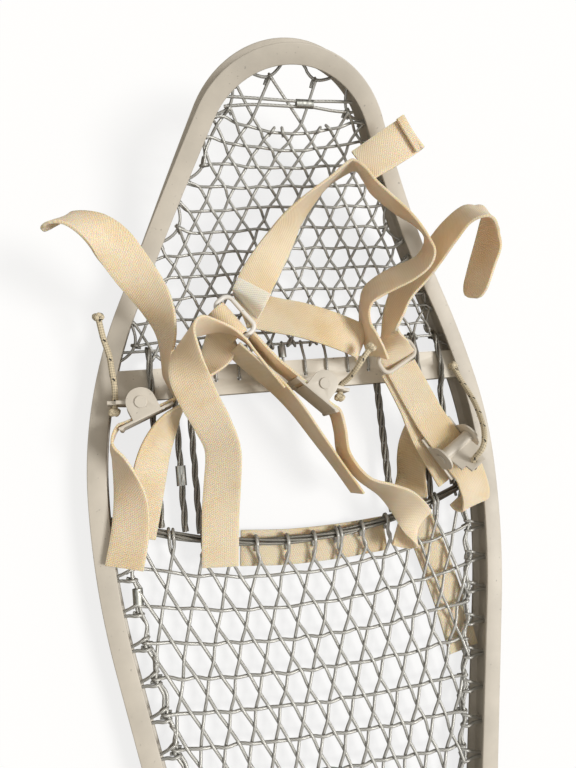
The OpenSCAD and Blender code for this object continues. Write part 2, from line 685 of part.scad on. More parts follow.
module pin_rivet() {
    head_t = 1.2;
    color(paint)
        union() {
            cylinder(h = buckle_w, d = pin_d, center = true);
            for (s = [-1, 1])
                translate([0, 0, s * (buckle_w + head_t) / 2])
                    cylinder(h = head_t, d = 1.6 * pin_d, center = true);
        }
}

// A toothed cam on the pin, with a flat handle that rises from the strap by an angle
module cam_lever(lift) {
    long = buckle_w - 2 * buckle_t - 2 * gap;
    nose = pin_lift - gap - strap_t - 2 * gap;
    hub_r = pin_d / 2 + 2;
    hub_nose_r = 3.4;
    tooth_d = 0.8;
    handle_w = long - 4;
    color(paint)
        difference() {
            union() {
                cylinder(h = long, r = hub_r, center = true);
                translate([0, hub_nose_r - nose + tooth_d / 2, 0])
                    cylinder(h = long, r = hub_nose_r, center = true);
                for (a = [-35, 0, 35])
                    translate([0, hub_nose_r - nose + tooth_d / 2, 0])
                        rotate([0, 0, a - 90])
                            translate([hub_nose_r, 0, 0])
                                cylinder(h = long, d = tooth_d, center = true, $fn = 16);
                rotate([0, 0, 180 - lift]) {
                    translate([0, -lever_t / 2, -handle_w / 2])
                        cube([lever_len - handle_w / 4, lever_t, handle_w]);
                    translate([lever_len - handle_w / 4, 0, 0])
                        cube([handle_w / 2, lever_t, handle_w / 1.6], center = true);
                }
            }
            cylinder(h = 2 * long, r = pin_d / 2 + pin_play, center = true);
            rotate([0, 0, 180 - lift])
                translate([eye_reach, 0, 0])
                    rotate([90, 0, 0])
                        cylinder(h = 4 * lever_t, d = eye_d, center = true);
        }
}

// Sets a buckle's piece beside the crossbar with its pin upright
module at_left_buckle() {
    at_binding()
        translate(left_pin)
            rotate([0, 0, left_turn])
                children();
}

module at_mid_buckle() {
    at_binding()
        translate(mid_pin)
            rotate([0, 0, mid_turn])
                mirror([1, 0, 0])
                    children();
}

// Sets a buckle's piece over the right strap with its pin level
module at_right_buckle() {
    at_binding()
        translate(right_pin)
            rotate([0, 0, right_turn])
                rotate([90, 0, 0])
                    mirror([1, 0, 0])
                        children();
}

module left_buckle() {
    at_left_buckle()
        bracket();
}

module left_lever() {
    at_left_buckle()
        cam_lever(left_lift);
}

module left_pin_rivet() {
    at_left_buckle()
        pin_rivet();
}

module mid_buckle() {
    at_mid_buckle()
        bracket();
}

module mid_lever() {
    at_mid_buckle()
        cam_lever(mid_lift);
}

module mid_pin_rivet() {
    at_mid_buckle()
        pin_rivet();
}

module right_buckle() {
    at_right_buckle()
        bracket();
}

module right_lever() {
    at_right_buckle()
        cam_lever(right_lift);
}

module right_pin_rivet() {
    at_right_buckle()
        pin_rivet();
}

// A round-cornered loop of wire, long along X
module wire_loop(wide) {
    corner_r = 1.5 * wire_d;
    x = (loop_in + wire_d) / 2 - corner_r;
    y = (wide + wire_d) / 2 - corner_r;
    for (s = [-1, 1]) {
        translate([-x, s * (y + corner_r), 0])
            rotate([0, 90, 0])
                cylinder(h = 2 * x, d = wire_d);
        translate([s * (x + corner_r), -y, 0])
            rotate([-90, 0, 0])
                cylinder(h = 2 * y, d = wire_d);
    }
    for (q = [[x, y, 0], [-x, y, 90], [-x, -y, 180], [x, -y, 270]])
        translate([q[0], q[1], 0])
            rotate([0, 0, q[2]])
                rotate_extrude(angle = 90)
                    translate([corner_r, 0])
                        circle(d = wire_d);
}

module slide_loop() {
    color("#e4e2de")
        at_binding()
            translate(slide_at)
                rotate([0, 0, slide_turn])
                    wire_loop(3 * wire_d);
}

module strap_ring() {
    color(paint)
        at_binding()
            translate(ring_at)
                rotate([0, 0, ring_turn])
                    wire_loop(3 * wire_d);
}

module left_strap_tail() {
    webbing(left_tail_route);
}

module left_strap() {
    webbing(left_strap_route);
}

module left_anchor_strap() {
    webbing(left_anchor_route);
}

module hanging_strap() {
    webbing(hanging_route);
}

module instep_strap() {
    webbing(instep_route);
}

module heel_strap() {
    webbing(heel_route);
}

module heel_strap_tab() {
    webbing(heel_tab_route);
}

module right_strap_tail() {
    webbing(right_tail_route);
}

module right_strap() {
    webbing(right_strap_route);
}

module toe_strap() {
    webbing(toe_strap_route);
}

module toe_inner_strap() {
    webbing(toe_inner_route);
}

module under_strap() {
    webbing(under_strap_route);
}

module drop_strap() {
    webbing(drop_strap_route);
}

module lanyard(route) {
    color(cord_cream)
        at_binding()
            cable(curve(route, 2), lanyard_d, unit([0.3, 0.2, 1]), 8);
}

// Knots that stop a lanyard's two ends
module knots(route) {
    n = len(route) - 1;
    for (e = [[route[0], route[1]], [route[n], route[n - 1]]])
        color(cord_cream)
            at_binding()
                translate(e[0] + unit(e[0] - e[1]) * knot_d / 2)
                    sphere(d = knot_d);
}

module left_lanyard_cord() {
    lanyard(left_lanyard);
}

module left_knots() {
    knots(left_lanyard);
}

module mid_lanyard_cord() {
    lanyard(mid_lanyard);
}

module mid_knots() {
    knots(mid_lanyard);
}

module right_lanyard_cord() {
    lanyard(right_lanyard);
}

module right_knots() {
    knots(right_lanyard);
}

frame_rail();
toe_crossbar();
rear_crossbar();
tail_spacer();
tail_rivets();
toe_selvedge();
toe_ties();
toe_net();
body_selvedge();
body_ties();
body_net();
tail_net();
master_cord();
left_bridles();
right_bridles();
crimp_sleeves();
left_buckle();
left_lever();
left_pin_rivet();
mid_buckle();
mid_lever();
mid_pin_rivet();
right_buckle();
right_lever();
right_pin_rivet();
slide_loop();
strap_ring();
left_strap_tail();
left_strap();
left_anchor_strap();
hanging_strap();
instep_strap();
heel_strap();
heel_strap_tab();
right_strap_tail();
right_strap();
toe_strap();
toe_inner_strap();
under_strap();
drop_strap();
left_lanyard_cord();
left_knots();
mid_lanyard_cord();
mid_knots();
right_lanyard_cord();
right_knots();
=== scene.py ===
"""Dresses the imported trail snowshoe: painted rail, woven cable nets, webbing binding and braided lanyards."""

import json
import math

import bpy
import numpy as np
from bpy.props import FloatProperty, FloatVectorProperty, PointerProperty
from mathutils import Matrix, Vector

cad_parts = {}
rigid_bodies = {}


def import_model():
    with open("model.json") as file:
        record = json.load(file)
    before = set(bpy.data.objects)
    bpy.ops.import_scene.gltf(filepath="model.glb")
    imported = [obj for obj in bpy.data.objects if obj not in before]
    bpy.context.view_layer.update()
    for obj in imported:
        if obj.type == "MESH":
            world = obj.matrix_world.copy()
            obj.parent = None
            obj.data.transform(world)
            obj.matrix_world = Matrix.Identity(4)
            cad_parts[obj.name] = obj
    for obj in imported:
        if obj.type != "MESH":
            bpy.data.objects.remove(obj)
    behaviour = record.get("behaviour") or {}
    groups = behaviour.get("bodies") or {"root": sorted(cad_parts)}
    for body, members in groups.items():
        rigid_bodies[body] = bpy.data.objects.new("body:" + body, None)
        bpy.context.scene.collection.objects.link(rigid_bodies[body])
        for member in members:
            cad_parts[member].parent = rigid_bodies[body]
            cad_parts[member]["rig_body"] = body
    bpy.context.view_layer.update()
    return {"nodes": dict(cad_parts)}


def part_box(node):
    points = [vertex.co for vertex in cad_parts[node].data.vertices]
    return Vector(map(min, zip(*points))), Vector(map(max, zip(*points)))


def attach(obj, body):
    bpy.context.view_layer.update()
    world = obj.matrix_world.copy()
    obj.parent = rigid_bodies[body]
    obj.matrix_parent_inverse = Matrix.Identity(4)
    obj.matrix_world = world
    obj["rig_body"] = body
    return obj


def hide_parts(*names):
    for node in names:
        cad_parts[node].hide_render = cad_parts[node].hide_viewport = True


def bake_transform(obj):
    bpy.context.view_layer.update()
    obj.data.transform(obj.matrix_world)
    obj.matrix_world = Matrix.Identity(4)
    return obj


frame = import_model()

bl_info = {
    "name": "Trail snowshoe",
    "version": (1, 0, 0),
    "blender": (4, 5, 0),
    "location": "View3D > Sidebar > Snowshoe",
    "description": "Dresses a packed snowshoe with its lacing, webbing and finishes",
    "category": "Object",
}

MM = 0.001

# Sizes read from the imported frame, in millimetres
RAIL_LOW, RAIL_HIGH = (np.array(corner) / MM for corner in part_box("frame_rail"))
BAR_LOW, BAR_HIGH = (np.array(corner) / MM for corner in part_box("toe_crossbar"))
REAR_LOW, REAR_HIGH = (np.array(corner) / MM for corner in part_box("rear_crossbar"))
HALF_W = RAIL_HIGH[0]
TAIL_V = RAIL_LOW[1]
BAR_FRONT = BAR_HIGH[1]
BAR_Y = (BAR_LOW[1] + BAR_HIGH[1]) / 2
BAR_TOP = BAR_HIGH[2]

# The rail's section and its outline in the flat, as in the part's source
RAIL_H = 22.2
FLANGE_W = 12.7
FLANGE_T = 2.2
FLANGE_ROOT = 1.0
WEB_T = 3.2
WEB_IN = FLANGE_W / 2 + WEB_T / 2
WEB_OUT = FLANGE_W / 2 - WEB_T / 2
TOE_R = 72.0
FLARE = math.radians(25)
BELLY_FRONT_R = 310.0
BELLY_REAR_R = 595.0
TAPER = math.radians(11)
SWEEP_R = 1500.0
TAIL_HW = FLANGE_W + 14.6 / 2
BEND_R = 300.0
BEND = math.radians(44.5)
BEND_BASE_R = BEND_R + RAIL_H
BEND_V = -TAIL_V - BEND_BASE_R * math.sin(BEND)
# The toe crossbar's lacing holes: their pitch, and how many lie on each side of its middle
BAR_HOLE_PITCH = 17.0
BAR_HOLES = 6

# The lacing's level in the rail, and the master cord behind the toe hole, which bows back in its middle
NET_H = 11.1
HOLE_LEN = 110.0
CORD_Y = BAR_LOW[1] - HOLE_LEN
CORD_BOW = 35.0
# How the body net is drawn out of shape, per millimetre along the shoe and as far as it goes on:
# its rows rise to the left, its slanting cables spread forwards, and the whole leans
LEFT_RISE, LEFT_RISE_REACH, LEFT_RISE_FADE = 0.0006, 140, 1.8
FAN, FAN_REACH = 0.0012, 200
LEAN = 0.05
# A slanting cable of the body net meets its neighbour this far behind the master cord, and they go round it
# together
APEX = 12.4
# The first row of the body net behind the cord, and the rows from there to the middle of the pattern
FIRST_ROW, ROWS_TO_MIDDLE = 24, 10.5
# The toe net's rear edge before the crossbar, and its last row and doubled cable below the tip
TOE_REAR, TOE_LAST_ROW, TOE_DOUBLED = 12.0, 44.0, 34.5
# Where the toe net's rows begin to sag, how far they do and how wide the sag is
SAG_FROM, SAG, SAG_HALF_W = 545, 11.0, 52
# How much its lower rows drop for each millimetre to the left
TOE_SLANT = 0.05
# Cables of the toe net that end this near to a gathering place are drawn to it, but for a share of the way
GATHER, GATHER_SPREAD = 13.0, 0.14
# Half the width of the toe net's last row where cables end on it
LAST_ROW_HALF_W = 34
# How deep the scallops reach in from the web, and how far a selvedge's ends are sunk in it
TOE_DEPTH, TAIL_DEPTH, BURY = 11.0, 3.0, 0.4
# How far a tie pulls the body selvedge to the web
PULL = 1.5
# The tail net ends this far before the tail
TAIL_BARE = 240
# The sleeve on the left selvedge, from its front to its rear
SLEEVE_FRONT, SLEEVE_REAR = 293.5, 282.5
# Places of the bridles across the shoe; the one that ends at the crossbar's rear edge is thicker
BRIDLES = {"left": (-106, -90, -80), "right": (66, 100, 120)}
THICK_BRIDLE = 66
# Twisted cables: their strands, how far each lies from the middle, and the length of one turn
SELVEDGE_TWIST = 2, 1.2, 74.0
CORD_TWIST = 4, 1.85, 170.0
BRIDLE_TWIST = 3, 1.35, 52.0
THICK_TWIST = 4, 1.75, 52.0
TOE_FERRULE_R, BODY_FERRULE_R = 3.0, 3.5
# A cable that goes round another lies this share of its width from the other's middle
WRAP = 1.04

# The binding's own place, over the toe crossbar and level with the rail's top
BINDING = np.array([0.0, BAR_Y, RAIL_H])
STRAP_W = 25.4
STRAP_T = 2.0

# The camera that was fitted to the rail's outline
CAMERA_PLACE = (-0.11559, 0.37373, 0.43604)
CAMERA_TURN = ((0.96581, 0.07150, -0.24919), (-0.10315, 0.98784, -0.11634), (0.23785, 0.13807, 0.96144))
CAMERA_LENS = 27.457
SUN_FROM = (0.72, -0.15, 1.0)


def linear(hex_colour):
    """A linear RGB colour from an sRGB hex value."""
    parts = [int(hex_colour[i : i + 2], 16) / 255 for i in (1, 3, 5)]
    return [c / 12.92 if c <= 0.04045 else ((c + 0.055) / 1.055) ** 2.4 for c in parts]


def length(label, words, usual, least, most):
    """A setting for a length: given in millimetres, kept in metres."""
    return FloatProperty(
        name=label, description=words, unit="LENGTH", precision=5,
        default=usual * MM, min=least * MM, max=most * MM,
    )


def colour(label, words, value):
    """A setting for a colour, given as an sRGB hex value."""
    return FloatVectorProperty(
        name=label, description=words, subtype="COLOR", size=3, default=linear(value), min=0, max=1
    )


class LacingSettings(bpy.types.PropertyGroup):
    """Sizes of the lacing."""

    cable: length("Cable", "Diameter of the body's coated cable", 2.3, 1.5, 4)
    toe_cable: length("Toe cable", "Diameter of the toe's coated cable", 2.1, 1.5, 4)
    toe_pitch: length("Toe pitch", "Spacing of the toe net's cables", 14.6, 10, 30)
    body_pitch: length("Body pitch", "Spacing of the body net's rows", 22.5, 14, 40)
    tail_pitch: length("Tail pitch", "Spacing of the tail net's cables", 22, 14, 40)
    toe_scallop: length("Toe scallop", "Pitch of the toe selvedge's scallops", 44, 30, 60)
    tail_scallop: length("Tail scallop", "Pitch of the tail selvedge's scallops", 25, 20, 60)
    tie_pitch: length("Tie pitch", "Pitch of the body selvedge's ties", 24.5, 15, 60)
    stand_off: length("Stand-off", "How far the body selvedge stands off the rail's web", 15.5, 6, 30)
    stitch: length("Stitch", "Length of a stitch outside the web", 9, 5, 14)
    unevenness: length("Unevenness", "How far a crossing strays from its place", 0.8, 0, 3)
    squeeze: FloatProperty(
        name="Squeeze", description="How many times closer the body's slanting cables lie across the shoe",
        default=1.27, min=1, max=2, subtype="FACTOR",
    )


class FinishSettings(bpy.types.PropertyGroup):
    """Colours of the finishes."""

    frame_paint: colour("Frame paint", "Satin enamel on the frame", "#CBC4B8")
    # Painted light: the crossbars wear the frame's own enamel, and this paler colour brightens the shade that
    # the binding throws on them
    lit_bar_paint: colour("Crossbar paint", "Paler enamel on the crossbars", "#E6DFD2")
    hardware_paint: colour("Hardware paint", "Enamel on the buckles", "#D4CDC1")
    loop_paint: colour("Loop paint", "Enamel on the slide loop", "#E6E5E2")
    cable: colour("Cable", "Coated steel cable", "#A3A29D")
    dark_cable: colour("Dark cable", "Bare, weathered cable of the master cord and the bridles", "#75726A")
    webbing: colour("Webbing", "Lit side of the cotton webbing", "#F2E0C6")
    webbing_shade: colour("Webbing shade", "Aged places of the webbing", "#E4CA9F")
    # Painted light: a paler copy of the webbing that makes the heel lap's upward face look more brightly lit
    # than the rest
    lit_lap_webbing: colour("Pale webbing", "Webbing that was kept from the light", "#F3ECDF")
    cord: colour("Lanyard", "Braided lanyard cord", "#DDD0B4")


def lacing(name):
    """A size of the lacing in millimetres, in the single precision that settings have."""
    return float(np.float32(round(getattr(bpy.context.scene.snowshoe_lacing, name) / MM, 4)))


# Geometry of the frame


def run_lengths(points):
    """How far along a run of points each of them lies."""
    return np.concatenate([[0], np.cumsum(np.linalg.norm(np.diff(points, axis=0), axis=1))])


def unit(rows):
    """Rows of vectors, each made one long."""
    return rows / np.linalg.norm(rows, axis=1)[:, None]


def side_stations(toe=28, flare=8, belly=18, rear=14, sweep=26):
    """Stations of the right-hand side, tip to tail: rows of x, v, outward x, outward v."""
    toe_v = BEND_V + BEND_R * BEND
    flare_x = TOE_R * math.cos(FLARE)
    flare_v = toe_v - TOE_R * (1 - math.sin(FLARE))
    flare_len = (HALF_W - flare_x - BELLY_FRONT_R * (1 - math.cos(FLARE))) / math.sin(FLARE)
    belly_v = flare_v - flare_len * math.cos(FLARE) - BELLY_FRONT_R * math.sin(FLARE)
    sweep_x = TAIL_HW + SWEEP_R * (1 - math.cos(TAPER))
    taper_x = HALF_W - BELLY_REAR_R * (1 - math.cos(TAPER))
    taper_v = belly_v - BELLY_REAR_R * math.sin(TAPER)
    sweep_v = taper_v - (taper_x - sweep_x) / math.tan(TAPER) - SWEEP_R * math.sin(TAPER)
    rows = []
    for a in np.linspace(0, math.pi / 2 - FLARE, toe + 1):
        c, s = math.cos(a), math.sin(a)
        rows.append([TOE_R * s, toe_v - TOE_R * (1 - c), s, c])
    for k in np.linspace(0, flare_len, flare + 1)[1:]:
        c, s = math.cos(FLARE), math.sin(FLARE)
        rows.append([flare_x + k * s, flare_v - k * c, c, s])
    for a in np.linspace(FLARE, 0, belly + 1)[1:]:
        c, s = math.cos(a), math.sin(a)
        rows.append([HALF_W - BELLY_FRONT_R * (1 - c), belly_v + BELLY_FRONT_R * s, c, s])
    for a in np.linspace(0, TAPER, rear + 1)[1:]:
        c, s = math.cos(a), math.sin(a)
        rows.append([HALF_W - BELLY_REAR_R * (1 - c), belly_v - BELLY_REAR_R * s, c, -s])
    for a in np.linspace(TAPER, 0, sweep + 1):
        c, s = math.cos(a), math.sin(a)
        rows.append([TAIL_HW + SWEEP_R * (1 - c), sweep_v + SWEEP_R * s, c, -s])
    rows.append([TAIL_HW, TAIL_V, 1, 0])
    return np.array(rows)


SIDE = side_stations()
SIDE_S = run_lengths(SIDE[:, :2])
TIP_V = SIDE[0][1]


def side_at(s, inset):
    """A point of the right-hand side in the flat, a distance s from the tip along its outer edge."""
    x, v, nx, nv = (np.interp(s, SIDE_S, SIDE[:, i]) for i in range(4))
    return np.array([x - inset * nx, v - inset * nv])


def side_s(v):
    """The distance along the outer edge where the side passes v."""
    return float(np.interp(-v, -SIDE[:, 1], SIDE_S))


def rolled(point):
    """Turns a point of the flat pattern, x, v and height, up with the toe."""
    x, v, h = point
    if v <= BEND_V:
        return np.array([x, v, h])
    a, r = (v - BEND_V) / BEND_R, BEND_BASE_R - h
    return np.array([x, BEND_V + r * math.sin(a), BEND_BASE_R - r * math.cos(a)])


def stray(*keys):
    """A steady number from -1 to 1 for a place in the lacing."""
    value = math.sin(sum(k * w for k, w in zip(keys, (12.9898, 78.233, 37.719, 4.581)))) * 43758.5453
    return 2 * (value - math.floor(value)) - 1


def curve(points, steps):
    """A smooth curve through points, with a number of steps in each stretch."""
    p = np.asarray(points, float)
    p = np.vstack([2 * p[0] - p[1], p, 2 * p[-1] - p[-2]])
    t = (np.arange(steps) / steps)[:, None]
    rows = []
    for a, b, c, d in zip(p[:-3], p[1:-2], p[2:-1], p[3:]):
        bend, twist = 2 * a - 5 * b + 4 * c - d, 3 * b - a - 3 * c + d
        rows.append(0.5 * (2 * b + (c - a) * t + bend * t**2 + twist * t**3))
    return np.vstack(rows + [p[-2][None]])


# Making meshes


def deselect():
    """Leaves nothing selected."""
    bpy.ops.object.select_all(action="DESELECT")


def pick(piece):
    """Selects one piece alone and makes it active."""
    deselect()
    piece.select_set(True)
    bpy.context.view_layer.objects.active = piece


def keep_mesh(name, points, faces, uvs=None):
    """An object at the origin from points in millimetres, with a UV pair for each face corner in metres."""
    mesh = bpy.data.meshes.new(name)
    mesh.from_pydata((np.asarray(points) * MM).tolist(), [], faces)
    if uvs is not None:
        mesh.uv_layers.new(name="lay").data.foreach_set("uv", np.asarray(uvs, np.float32).ravel())
    mesh.validate()
    made = bpy.data.objects.new(name, mesh)
    bpy.context.scene.collection.objects.link(made)
    pick(made)
    return made


def soften(piece, width, segments, sharp, smooth):
    """Rounds the active piece's edges that turn by more than an angle, by a width in millimetres, and shades
    what turns by less than another angle smooth."""
    if width:
        bevel = piece.modifiers.new("Edges", "BEVEL")
        bevel.width = width * MM
        bevel.segments = segments
        bevel.limit_method = "ANGLE"
        bevel.angle_limit = math.radians(sharp)
        bpy.ops.object.modifier_apply(modifier=bevel.name)
    bpy.ops.object.shade_smooth_by_angle(angle=math.radians(smooth))


def along(route):
    """Two steady directions square to a route at each of its points."""
    t = unit(np.gradient(route, axis=0))
    first = np.cross(t[0], [0.31, 0.17, 0.94])
    side = [first / np.linalg.norm(first)]
    for k in range(1, len(route)):
        s = side[-1] - t[k] * (side[-1] @ t[k])
        side.append(s / np.linalg.norm(s))
    side = np.array(side)
    return side, np.cross(t, side)


def swept(name, routes, radius, sides=7):
    """One object of round cables along routes. Its UV map runs round the cable and along it in metres."""
    points, faces, uvs = [], [], []
    turns = np.arange(sides) * 2 * math.pi / sides
    for route in routes:
        route = np.asarray(route, float)
        side, up = along(route)
        ring = np.cos(turns)[None, :, None] * side[:, None] + np.sin(turns)[None, :, None] * up[:, None]
        base, n = len(points), len(route)
        points.extend((route[:, None] + radius * ring).reshape(-1, 3))
        far = run_lengths(route) * MM
        for j in range(n - 1):
            for i in range(sides):
                k = (i + 1) % sides
                a, b = base + j * sides, base + (j + 1) * sides
                faces.append((a + i, a + k, b + k, b + i))
                u0, u1 = i / sides, (i + 1) / sides
                uvs += [(u0, far[j]), (u1, far[j]), (u1, far[j + 1]), (u0, far[j + 1])]
        faces.append(tuple(base + i for i in range(sides - 1, -1, -1)))
        faces.append(tuple(base + (n - 1) * sides + i for i in range(sides)))
        uvs += [(0.5, far[0])] * sides + [(0.5, far[-1])] * sides
    made = keep_mesh(name, points, faces, uvs)
    bpy.ops.object.shade_smooth_by_angle(angle=math.radians(60))
    return made


def twisted(route, strands, reach, lay):
    """Routes of strands that wind round one route, once in each lay."""
    route = np.asarray(route, float)
    side, up = along(route)
    far = run_lengths(route)
    out = []
    for k in range(strands):
        a = 2 * math.pi * (far / lay + k / strands)
        out.append(route + reach * (np.cos(a)[:, None] * side + np.sin(a)[:, None] * up))
    return out


def dress(piece, look, slot, body, *nodes):
    """Gives a finished piece its material, hides the nodes that it stands for and sets its body; slot is not
    used.
    """
    piece.data.materials.clear()
    piece.data.materials.append(finishes()[look])
    if nodes:
        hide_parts(*nodes)
    if body:
        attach(piece, body)
    return piece


def smooth_copy(node, edge, look, slot, smooth=28):
    """A copy of a CAD node with its triangles merged and its edges rounded, which stands for the node."""
    source = frame["nodes"][node]
    made = bpy.data.objects.new(node + "_dressed", source.data.copy())
    bpy.context.scene.collection.objects.link(made)
    pick(made)
    bpy.ops.object.mode_set(mode="EDIT")
    bpy.ops.mesh.select_all(action="SELECT")
    bpy.ops.mesh.remove_doubles(threshold=2e-6)
    bpy.ops.mesh.dissolve_limited(angle_limit=math.radians(1))
    bpy.ops.object.mode_set(mode="OBJECT")
    soften(made, edge, segments=2, sharp=40, smooth=smooth)
    return dress(made, look, slot, source["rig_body"], node)


# Materials


def feed(tree, node, inputs):
    """Sets a node's inputs: a socket or a node's first output is linked, anything else is a constant."""
    for key, value in inputs.items():
        if isinstance(value, bpy.types.Node):
            value = value.outputs[0]
        if isinstance(value, bpy.types.NodeSocket):
            tree.links.new(value, node.inputs[key])
        else:
            node.inputs[key].default_value = value


def add(tree, kind, inputs=None, stops=(), **settings):
    """Adds a shader node with its settings and inputs, and with a colour ramp's stops of place and colour."""
    node = tree.nodes.new("ShaderNode" + kind)
    for name, value in settings.items():
        setattr(node, name, value)
    feed(tree, node, inputs or {})
    for k, (place, tone) in enumerate(stops):
        elements = node.color_ramp.elements
        element = elements[k] if k < len(elements) else elements.new(place)
        element.position = place
        element.color = (*tone, 1)
    return node


def blank(name):
    """A new material, its node tree, its shader and its object coordinates."""
    material = bpy.data.materials.new(name)
    material.use_nodes = True
    tree = material.node_tree
    return material, tree, tree.nodes["Principled BSDF"], add(tree, "TexCoord").outputs["Object"]


def lay_of(tree):
    """The two directions of a piece's own map: round or across it, and along it."""
    parts = add(tree, "SeparateXYZ", {"Vector": add(tree, "UVMap", uv_map="lay")})
    return parts.outputs["X"], parts.outputs["Y"]


def per(millimetres):
    """A pattern's scale, from the real size of what repeats in it."""
    return 1 / (millimetres * MM)


def darker(tone, share):
    """A colour brought down to a share of itself."""
    return [c * share for c in tone]


def enamel(name, tone, roughness, grime):
    """Satin enamel sprayed on metal: an even coat with a faint orange peel, dulled by handling and nicked."""
    material, tree, shader, place = blank(name)
    clouds = add(tree, "TexNoise", {"Vector": place, "Scale": per(38.46), "Detail": 4.0, "Roughness": 0.6})
    tint = add(tree, "ValToRGB", {"Fac": clouds}, [(0.3, darker(tone, 1 - grime)), (0.62, tone)])
    specks = add(tree, "TexNoise", {"Vector": place, "Scale": per(2.381), "Detail": 3.0})
    chip = add(tree, "MapRange", {"Value": specks, "From Min": 0.7, "From Max": 0.74})
    mixed = add(tree, "Mix", {0: chip, 6: tint, 7: (*darker(tone, 0.5), 1)}, data_type="RGBA")
    peel = add(tree, "TexNoise", {"Vector": place, "Scale": per(1.1111), "Detail": 2.0})
    bump = add(tree, "Bump", {"Height": peel, "Strength": 0.12, "Distance": 0.2 * MM})
    worn = add(tree, "MapRange", {"Value": clouds, "To Min": roughness + 0.1, "To Max": roughness - 0.06})
    feed(tree, shader, {"Base Color": mixed.outputs[2], "Normal": bump, "Roughness": worn, "IOR": 1.5})
    return material


def coated_cable(name, tone):
    """Stranded steel cable under a thin clear coat: grey strands wind round it, with a soft wet shine."""
    material, tree, shader, place = blank(name)
    turn, far = lay_of(tree)
    # Six strands round the cable wind once in 16 mm
    wound = add(tree, "Math", {0: far, 1: per(16), 2: turn}, operation="MULTIPLY_ADD")
    angle = add(tree, "Math", {0: wound, 1: 6 * 2 * math.pi}, operation="MULTIPLY")
    wave = add(tree, "Math", {0: angle}, operation="SINE")
    strand = add(tree, "MapRange", {"Value": wave, "From Min": -1.0, "From Max": 0.4})
    stain = add(tree, "TexNoise", {"Vector": place, "Scale": per(16.667), "Detail": 3.0})
    shade = add(tree, "Math", {0: stain, 1: 0.5, 2: strand}, operation="MULTIPLY_ADD")
    # Painted shade in the grooves between strands and a painted highlight on their crests, over real stains
    # from the noise
    stops = [(0.15, darker(tone, 0.42)), (0.8, tone), (1.0, [min(1, c * 1.5) for c in tone])]
    tint = add(tree, "ValToRGB", {"Fac": shade}, stops)
    bump = add(tree, "Bump", {"Height": strand, "Strength": 0.35, "Distance": 0.3 * MM})
    feed(tree, shader, {"Base Color": tint, "Normal": bump, "Metallic": 0.35, "Roughness": 0.36})
    feed(tree, shader, {"Coat Weight": 0.35, "Coat Roughness": 0.2})
    return material


def cotton_webbing(name, tone, shade):
    """Heavy cotton webbing: fine ribs across a close twill, matt and fuzzy, yellowed unevenly by age."""
    material, tree, shader, place = blank(name)
    across, far = lay_of(tree)
    # Weft ribs every 1.5 mm and warp yarns every 1.3 mm, coarser than the real ones so that they show
    ribs = add(tree, "Math", {0: far, 1: 2 * math.pi * per(1.5)}, operation="MULTIPLY")
    yarns = add(tree, "Math", {0: across, 1: 2 * math.pi * per(1.3)}, operation="MULTIPLY")
    twill = add(tree, "Math", {0: yarns, 1: 0.5, 2: ribs}, operation="MULTIPLY_ADD")
    high = add(tree, "Math", {0: twill}, operation="SINE")
    wide = add(tree, "Math", {0: yarns}, operation="SINE")
    weave = add(tree, "Math", {0: wide, 1: 0.55, 2: high}, operation="MULTIPLY_ADD")
    height = add(tree, "MapRange", {"Value": weave, "From Min": -1.5, "From Max": 1.5})
    aged = add(tree, "TexNoise", {"Vector": place, "Scale": per(45.455), "Detail": 4.0, "Roughness": 0.55})
    tint = add(tree, "ValToRGB", {"Fac": aged}, [(0.26, shade), (0.56, tone)])
    # Painted shade: the weave's valleys are darkened and its crests lightened a little
    yarn = add(tree, "MapRange", {"Value": height, "To Min": 0.84, "To Max": 1.05})
    cloth = add(tree, "VectorMath", {0: tint, "Scale": yarn.outputs[0]}, operation="SCALE")
    bump = add(tree, "Bump", {"Height": height, "Strength": 0.5, "Distance": 0.4 * MM})
    feed(tree, shader, {"Base Color": cloth, "Normal": bump, "Roughness": 0.85, "Specular IOR Level": 0.25})
    feed(tree, shader, {"Sheen Weight": 0.15, "Sheen Roughness": 0.5})
    # Light that passes through the cloth makes the side turned from it golden
    feed(tree, shader, {"Subsurface Weight": 0.55, "Subsurface Scale": 4 * MM})
    feed(tree, shader, {"Subsurface Radius": (1.0, 0.62, 0.28)})
    return material


def braided_cord(name, tone):
    """Round braided cord: short crossing plaits, cream with a dark tracer yarn that winds along it."""
    material, tree, shader, _ = blank(name)
    turn, far = lay_of(tree)
    # Eight plaits each way, at a lay of 14 mm
    back = add(tree, "Math", {0: turn, 1: -1.0}, operation="MULTIPLY")
    lays, waves = [], []
    for way in (turn, back):
        lays.append(add(tree, "Math", {0: far, 1: per(14), 2: way}, operation="MULTIPLY_ADD"))
        angle = add(tree, "Math", {0: lays[-1], 1: 8 * math.pi}, operation="MULTIPLY")
        waves.append(add(tree, "Math", {0: angle}, operation="SINE"))
    plait = add(tree, "Math", {0: waves[0], 1: waves[1]}, operation="MULTIPLY")
    height = add(tree, "MapRange", {"Value": plait, "From Min": -1.0, "From Max": 1.0})
    # Painted shade: the plaits' valleys are darker than their crests
    tint = add(tree, "ValToRGB", {"Fac": height}, [(0.2, darker(tone, 0.6)), (0.7, tone)])
    near = add(tree, "Math", {0: lays[0]}, operation="FRACT")
    tracer = add(tree, "Math", {0: near, 1: 0.12}, operation="LESS_THAN")
    dashed = add(tree, "Math", {0: lays[1], 1: 2.0}, operation="MULTIPLY")
    gaps = add(tree, "Math", {0: dashed}, operation="FRACT")
    shown = add(tree, "Math", {0: gaps, 1: 0.5}, operation="LESS_THAN")
    dark = add(tree, "Math", {0: tracer, 1: shown}, operation="MULTIPLY")
    mixed = add(tree, "Mix", {0: dark, 6: tint, 7: (*linear("#2B2925"), 1)}, data_type="RGBA")
    bump = add(tree, "Bump", {"Height": height, "Strength": 0.6, "Distance": 0.4 * MM})
    feed(tree, shader, {"Base Color": mixed.outputs[2], "Normal": bump, "Roughness": 0.8})
    return material


